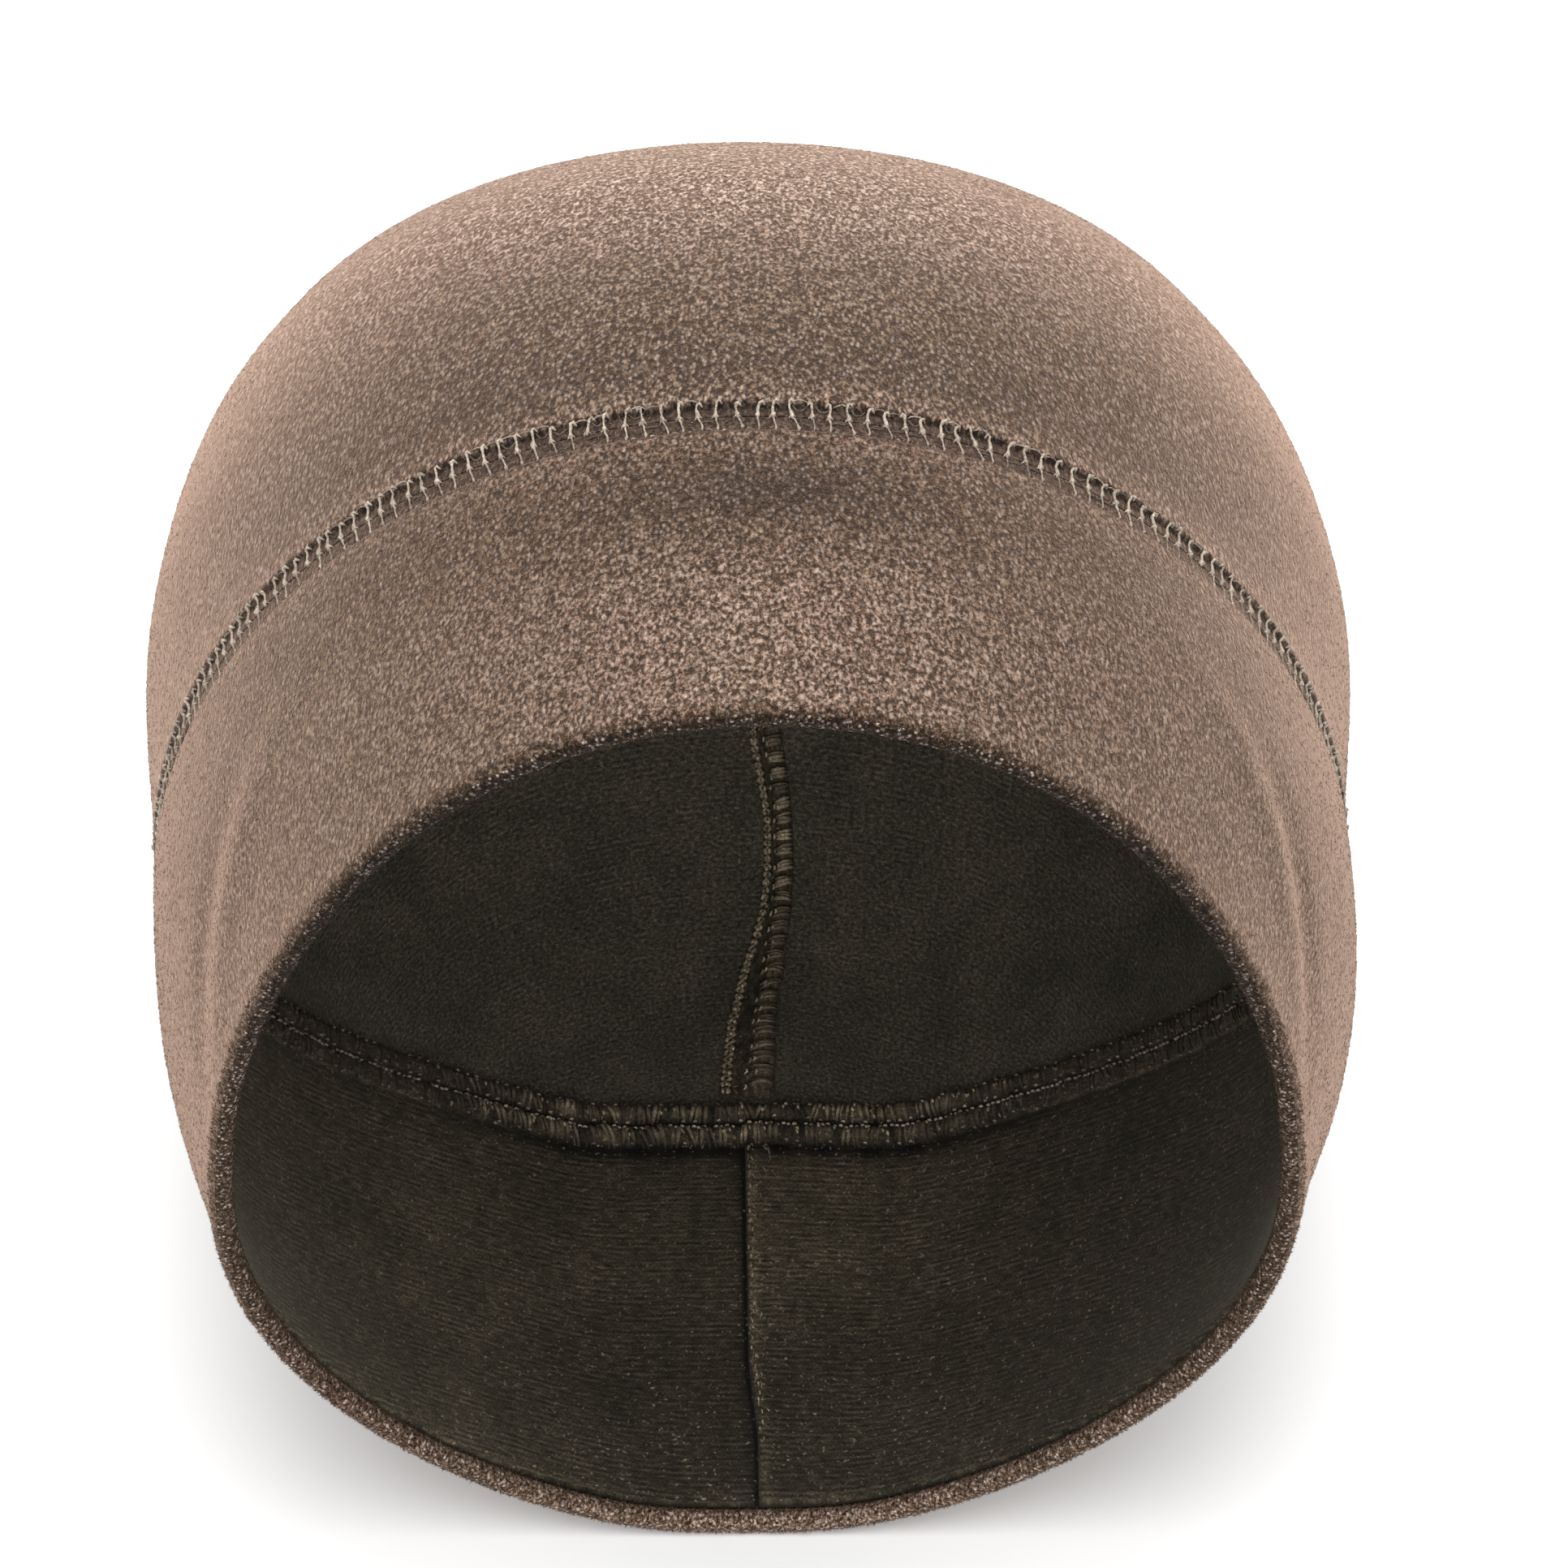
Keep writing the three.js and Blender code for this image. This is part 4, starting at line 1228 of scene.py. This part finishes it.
def needle_rows(material):
    """The rows of needle thread along the ring seam's ridges and groove."""
    source = np.random.default_rng(31)
    groups = []
    for row in NEEDLE_ROWS:
        places = even_places(RING_LENGTH, row["pitch"], source, 0.07)
        places = places[source.random(len(places)) < row["share"]]
        up = row["up"] + source.normal(0, 0.1, len(places))[:, None] + np.array(NEEDLE_DASH["up"])
        along = places[:, None] + np.array(NEEDLE_DASH["along"]) * row["size"]
        rise = ridge_height(along, up) + np.array(NEEDLE_DASH["lift"]) * row["size"]
        dashes = ring_place(along, up, inside_depth(along, up, rise))
        radii = np.array(NEEDLE_DASH["radius"]) * row["size"]
        # Painted shade: the needle stitches are dimmer towards the sides of the seam.
        shades = source.normal(row["shade"], 0.2, len(places)) * lerp(0.35, 1, back_fullness_and_light(places))
        groups.append((dashes, radii, np.clip(shades, 0, 1)))
    return thread_piece("ring_seam_needle_stitches", groups, material)


# The crown seam's allowance inside: a flat edge with a chain stitch, and an overlocked ridge beside it.
CROWN_PROFILE = dict(
    right=[-2.9, -2.8, -2.5, -2.0, -1.5, -0.9, -0.4, 0.1, 0.7, 1.3, 1.9, 2.4, 2.8, 2.9],
    rise=[-0.1, 0.3, 0.55, 0.5, 0.2, 0.15, 0.3, 0.95, 1.35, 1.5, 1.35, 1.0, 0.5, -0.1],
)
CHAIN_RIGHT = -2.2
RIDGE_RIGHT = 1.3
# How both sway: millimetres up the seam, and to the right of its middle.
CROWN_SWAY = dict(
    along=[0, 9, 16, 22, 26, 30, 34, 38, 45, 54, 60, 67, 75, 90],
    chain=[-2.8, -3.1, -3.2, -2.8, -2.4, -1.6, -0.7, 0.0, 0.3, -0.1, -1.2, -2.6, -2.4, -2.2],
    ridge=[1.1, 1.1, 1.1, 1.4, 2.0, 2.2, 2.6, 3.0, 3.2, 2.8, 2.0, 0.8, 1.2, 1.3],
)
CROWN_LOOP_PITCH = 2.7
CHAIN_PITCH = 1.35
CROWN_RIDGE_STEP = 0.3


def swayed(along, right):
    """Where a line along the crown seam runs, when both the chain and the ridge sway."""
    chain = np.interp(along, CROWN_SWAY["along"], CROWN_SWAY["chain"]) - CHAIN_RIGHT
    ridge = np.interp(along, CROWN_SWAY["along"], CROWN_SWAY["ridge"]) - RIDGE_RIGHT
    return right + lerp(chain, ridge, smooth_step(right, -1.6, -0.3))


def crown_ridge_rise(along, right):
    level = np.interp(right, CROWN_PROFILE["right"], CROWN_PROFILE["rise"])
    pinch = 0.5 - 0.5 * np.cos(2 * math.pi * (along / CROWN_LOOP_PITCH - 0.15 * right))
    swell = uneven(along, CROWN_SEAM_LENGTH, 9)
    return level * np.where(right > -0.5, 0.7 + 0.3 * pinch + 0.1 * swell, 1)


def crown_allowance(material):
    """The cloth of the crown seam's flat edge and ridge, sunk into the lining at both ends."""
    along = np.linspace(0, CROWN_SEAM_LENGTH, round(CROWN_SEAM_LENGTH / CROWN_RIDGE_STEP) + 1)[:, None]
    columns = len(CROWN_PROFILE["right"])
    half_steps = np.arange(2 * columns - 1) / 2
    top = np.interp(half_steps, np.arange(columns), CROWN_PROFILE["right"])
    right = np.concatenate([top, [0.8, -0.8, -2.9]])
    rise = crown_ridge_rise(along, right)
    rise[:, len(top) :] = SUNK
    taper = np.clip(np.minimum(along, CROWN_SEAM_LENGTH - along) / 0.6, 0, 1)
    points = crown_seam_place(along + 0 * right, swayed(along, right), lerp(SUNK, rise, taper))
    uv = np.stack(np.broadcast_arrays(along, right), axis=-1)
    # Painted shade low on the cloth, and painted light on the ridge's crest.
    shade = 0.4 + 0.18 * np.clip(rise, 0, 2) ** 2
    made = sheet_object("crown_seam_allowance_cloth", points, uv, dict(shade=shade))
    return finish_piece(made, material, ["crown_seam_allowance"])


def on_crown_seam(along, right, lift):
    """Points on the crown seam's ridge or flat edge, where they sway."""
    return crown_seam_place(along, swayed(along, right), crown_ridge_rise(along, right) + lift)


def chain_stitch(source):
    """The two threads of the chain stitch, which cross at each of its links."""
    groups = []
    along = np.arange(0.4, CROWN_SEAM_LENGTH - 0.4, CHAIN_PITCH / 5)
    turn = math.pi * along / CHAIN_PITCH
    for side in (1, -1):
        right = CHAIN_RIGHT + side * 0.4 * np.sin(turn) + source.normal(0, 0.09, len(along))
        thread = on_crown_seam(along, right, 0.2 + side * 0.1 * np.cos(turn))
        radii = 0.15 + 0.19 * np.abs(np.sin(turn)) + source.normal(0, 0.04, len(along))
        shades = 0.12 + 0.52 * np.abs(np.sin(turn)) + source.normal(0, 0.2, len(along))
        groups.append((thread[None], radii, np.clip(shades, 0, 1)[None]))
    return groups


def chain_beads(source):
    """Pale beads of thread on the chain stitch."""
    places = even_places(CROWN_SEAM_LENGTH - 1.5, 2 * CHAIN_PITCH, source, 0.2)[:, None] + 0.6
    along = places + np.array([-0.4, -0.12, 0.14, 0.4])
    right = CHAIN_RIGHT + source.normal(0.1, 0.2, places.shape) + 0 * along
    beads = on_crown_seam(along, right, np.array([0.1, 0.42, 0.42, 0.1]))
    shades = np.clip(source.normal(1.0, 0.25, len(beads)), 0.2, 1)
    return beads, np.array([0.1, 0.28, 0.28, 0.1]), shades


def crown_ridge_loops(source):
    """Overlock loops over the crown seam's ridge, three strands to a loop, thinner and darker at its foot."""
    groups = []
    places = even_places(CROWN_SEAM_LENGTH - 2.5, CROWN_LOOP_PITCH, source, 0.12)[:, None] + 1.2
    shade = np.clip(source.normal(0.55, 0.14, len(places)), 0.15, 1)
    above_foot = smooth_step(places, 25, 50)
    for offset in (-0.55, 0.05, 0.6):
        right = RIDGE_RIGHT - np.cos(LOOP_SWEEP) * 1.5 * source.uniform(0.85, 1.08, places.shape)
        along = places + offset + source.normal(0.22, 0.12, places.shape) * (right - RIDGE_RIGHT)
        rise = crown_ridge_rise(along, right) + 0.06
        rise[:, [0, -1]] = 0
        loops = crown_seam_place(along, swayed(along, right), rise)
        loops = loops + source.normal(0, 0.03, loops.shape)
        radii = (0.14 + 0.26 * np.sin(LOOP_SWEEP)) * source.uniform(0.85, 1.2, (len(loops), 1))
        of_loop = shade + source.normal(0, 0.08, len(loops))
        # Painted highlight on each loop's middle, and painted shade at its ends.
        shades = of_loop[:, None] * (0.1 + 0.9 * np.sin(LOOP_SWEEP) ** 2) * lerp(0.6, 1, above_foot)
        groups.append((loops, radii * lerp(0.75, 1, above_foot), np.clip(shades, 0, 1)))
    return groups


def crown_ridge_knots(source):
    """Two columns of small knots beside the crown seam's ridge."""
    groups = []
    for column, size in ((-0.35, 0.75), (0.4, 0.8)):
        places = even_places(CROWN_SEAM_LENGTH - 1.5, CROWN_LOOP_PITCH, source, 0.3)[:, None] + 0.6
        along = places + np.array([-0.5, -0.2, 0.2, 0.5])
        right = column + source.normal(0, 0.12, places.shape) + np.array([-0.1, 0.1, 0.1, -0.1])
        knots = on_crown_seam(along, right, np.array([0, 0.34, 0.34, 0]))
        shades = np.clip(source.normal(0.7, 0.25, len(knots)), 0, 1)
        groups.append((knots, np.array([0.12, 0.3, 0.3, 0.12]) * size, shades))
    return groups


def crown_stitches(material):
    """The chain stitch on the left of the crown seam, and the overlock loops over its ridge."""
    source = np.random.default_rng(41)
    groups = [*chain_stitch(source), chain_beads(source)]
    groups = [*groups, *crown_ridge_loops(source), *crown_ridge_knots(source)]
    return thread_piece("crown_seam_stitches", groups, material)


# The lapped join's stitches and the frayed ends beside them, down to the hem.
LAP_LENGTH = 68.0
LAP_STITCH_PITCH = 1.9
LAP_FRAYED_ENDS = 110


def on_lap(right, up, lift):
    """Points on the band's lining near its lapped join."""
    turn = math.pi - np.arcsin(right / HALF_WIDTH)
    depth = LINING_INSIDE + lap_thickness(turn, up) + np.array(lift)
    return skin(turn, climb_by(turn, ring_seam_climb(turn), up), depth)


def lap_stitches(material):
    """Small stitches that hold the lapped edge of the band's lining, and its frayed ends."""
    source = np.random.default_rng(53)
    up = np.arange(-RING_RIDGE_HALF_WIDTH - 0.8, -LAP_LENGTH, -LAP_STITCH_PITCH)[:, None]
    up = up + source.normal(0, 0.15, up.shape)
    up = up + np.array([0.45, 0.15, -0.15, -0.45])
    right = LAP_PLACE + 0.7 + lap_lean(up) + source.normal(0, 0.2, (len(up), 1))
    dashes = on_lap(right, up, [-0.1, 0.14, 0.14, -0.1])
    groups = [(dashes, [0.1, 0.17, 0.17, 0.1], source.normal(0.45, 0.14, len(dashes)))]
    middle = -source.uniform(RING_RIDGE_HALF_WIDTH, LAP_LENGTH, (LAP_FRAYED_ENDS, 1))
    reach = source.uniform(0.3, 0.8, (LAP_FRAYED_ENDS, 1)) * np.array([-1, -0.5, 0, 0.5, 1])
    angle = source.normal(0, 0.6, (LAP_FRAYED_ENDS, 1))
    curl = source.normal(0, 0.12, (LAP_FRAYED_ENDS, 5))
    up = middle + reach * np.cos(angle) + curl
    off_step = 0.3 + source.gamma(1.3, 0.7, (LAP_FRAYED_ENDS, 1))
    right = LAP_PLACE + lap_lean(up) + off_step + reach * np.sin(angle) - curl
    frayed = on_lap(right, up, [-0.05, 0.1, 0.12, 0.1, -0.05])
    shades = np.clip(source.normal(0.3, 0.2, LAP_FRAYED_ENDS), 0, 1)
    groups.append((frayed, [0.05, 0.1, 0.12, 0.1, 0.05], shades))
    return thread_piece("lap_stitches", groups, material)


# The finishes and the pieces.
band_cloth = micro_fleece("brushed_micro_fleece", FLEECE_GRAIN, BAND_CURL, nap_stroke=0.62,
                          tip_share=0.2, sheen=0.6)
crown_cloth = micro_fleece("stroked_micro_fleece", STROKED_GRAIN, CROWN_CURL, nap_stroke=0.5,
                           tip_share=0.24, sheen=0.6)
hem_cloth = micro_fleece("rolled_micro_fleece_hem", FLEECE_GRAIN, HEM_CURL, nap_stroke=0.68,
                         tip_share=0.6, sheen=0.05)
pile_fibres = fleece_fibres("loose_fleece_fibres", sheen=0.6)
hem_fibres = fleece_fibres("loose_hem_fibres", sheen=0.06)
crown_knit = knitted_jersey("plain_knit_jersey", CROWN_KNIT, slubs_from=0.76, row_share=0.025, dash=1.2)
band_knit = knitted_jersey("firm_knit_jersey", BAND_KNIT, slubs_from=0.725, row_share=0.055, dash=2.4)
edge_knit = knitted_jersey("overlocked_jersey_edge", EDGE_KNIT, slubs_from=0.73, row_share=0.0, dash=2.4)
loop_thread = sewing_thread("textured_overlock_thread", "#2a2318", "#dfccac", roughness=0.85)
needle_thread = sewing_thread("spun_polyester_thread", "#584a3e", "#e0d0be", roughness=0.7)

crown_pile = crown_fleece(crown_cloth)
band_pile, hem_pile = band_fleece(band_cloth, hem_cloth)
fibre_piece("crown_fibres", crown_pile, CROWN_FIBRES, 1, 61, pile_fibres)
fibre_piece("band_fibres", band_pile, BAND_FIBRES, -1, 67, pile_fibres)
fibre_piece("hem_fibres", hem_pile, HEM_FIBRES, -1, 71, hem_fibres)
crown_jersey(crown_knit)
band_jersey(band_knit)
ladder_stitches(needle_thread)
ring_allowance(edge_knit)
ring_loops(loop_thread)
needle_rows(needle_thread)
crown_allowance(edge_knit)
crown_stitches(loop_thread)
lap_stitches(loop_thread)

# Floor, light and camera. A softbox has its name, its place and width in metres, and its watts.
FLOOR_HALF_WIDTH = 3.0
SKY_STRENGTH = 0.7
SOFTBOXES = [
    ("overhead_softbox", (0, -0.25, 1.1), 0.9, 9),
    ("back_softbox", (0, 0.6, 0.7), 0.6, 4),
    ("front_softbox", (0, -0.9, 0.55), 0.6, 3),
]
SOFTBOX_AIM = Vector((0, 0, 0.1))
CAMERA_PLACE = Vector((-0.46, -510.3, 638.4)) * METRES
CAMERA_AIM = Vector((5.26, -7.11, 91.5)) * METRES
CAMERA_ROLL = math.radians(0.32)
CAMERA_LENS = 114.48
CAMERA_SENSOR = 36


def studio():
    """A pale floor, a white surround and three soft lights."""
    floor_mesh = bpy.data.meshes.new("floor")
    build = bmesh.new()
    bmesh.ops.create_grid(build, x_segments=1, y_segments=1, size=FLOOR_HALF_WIDTH)
    build.to_mesh(floor_mesh)
    build.free()
    floor = new_object("floor", floor_mesh)
    floor.data.materials.append(matt_paper("white_paper", "#f6f6f6"))
    world = bpy.data.worlds.new("studio")
    bpy.context.scene.world = world
    world.use_nodes = True
    background = world.node_tree.nodes["Background"]
    background.inputs["Color"].default_value = (1, 1, 1, 1)
    background.inputs["Strength"].default_value = SKY_STRENGTH
    for name, place, width, watts in SOFTBOXES:
        light = bpy.data.lights.new(name, "AREA")
        light.shape = "DISK"
        light.size = width
        light.energy = watts
        lamp = new_object(name, light)
        lamp.location = place
        lamp.rotation_euler = (SOFTBOX_AIM - Vector(place)).to_track_quat("-Z", "Y").to_euler()


def camera():
    """The camera, at the photo's angle."""
    lens = bpy.data.cameras.new("camera")
    lens.lens = CAMERA_LENS
    lens.sensor_width = CAMERA_SENSOR
    lens.sensor_fit = "HORIZONTAL"
    lens.clip_start = 0.01
    shot = new_object("camera", lens)
    look = (CAMERA_AIM - CAMERA_PLACE).to_track_quat("-Z", "Y").to_matrix().to_4x4()
    shot.matrix_world = Matrix.Translation(CAMERA_PLACE) @ look @ Matrix.Rotation(CAMERA_ROLL, 4, "Z")
    bpy.context.scene.camera = shot


studio()
camera()
bpy.context.scene.view_settings.view_transform = "Standard"
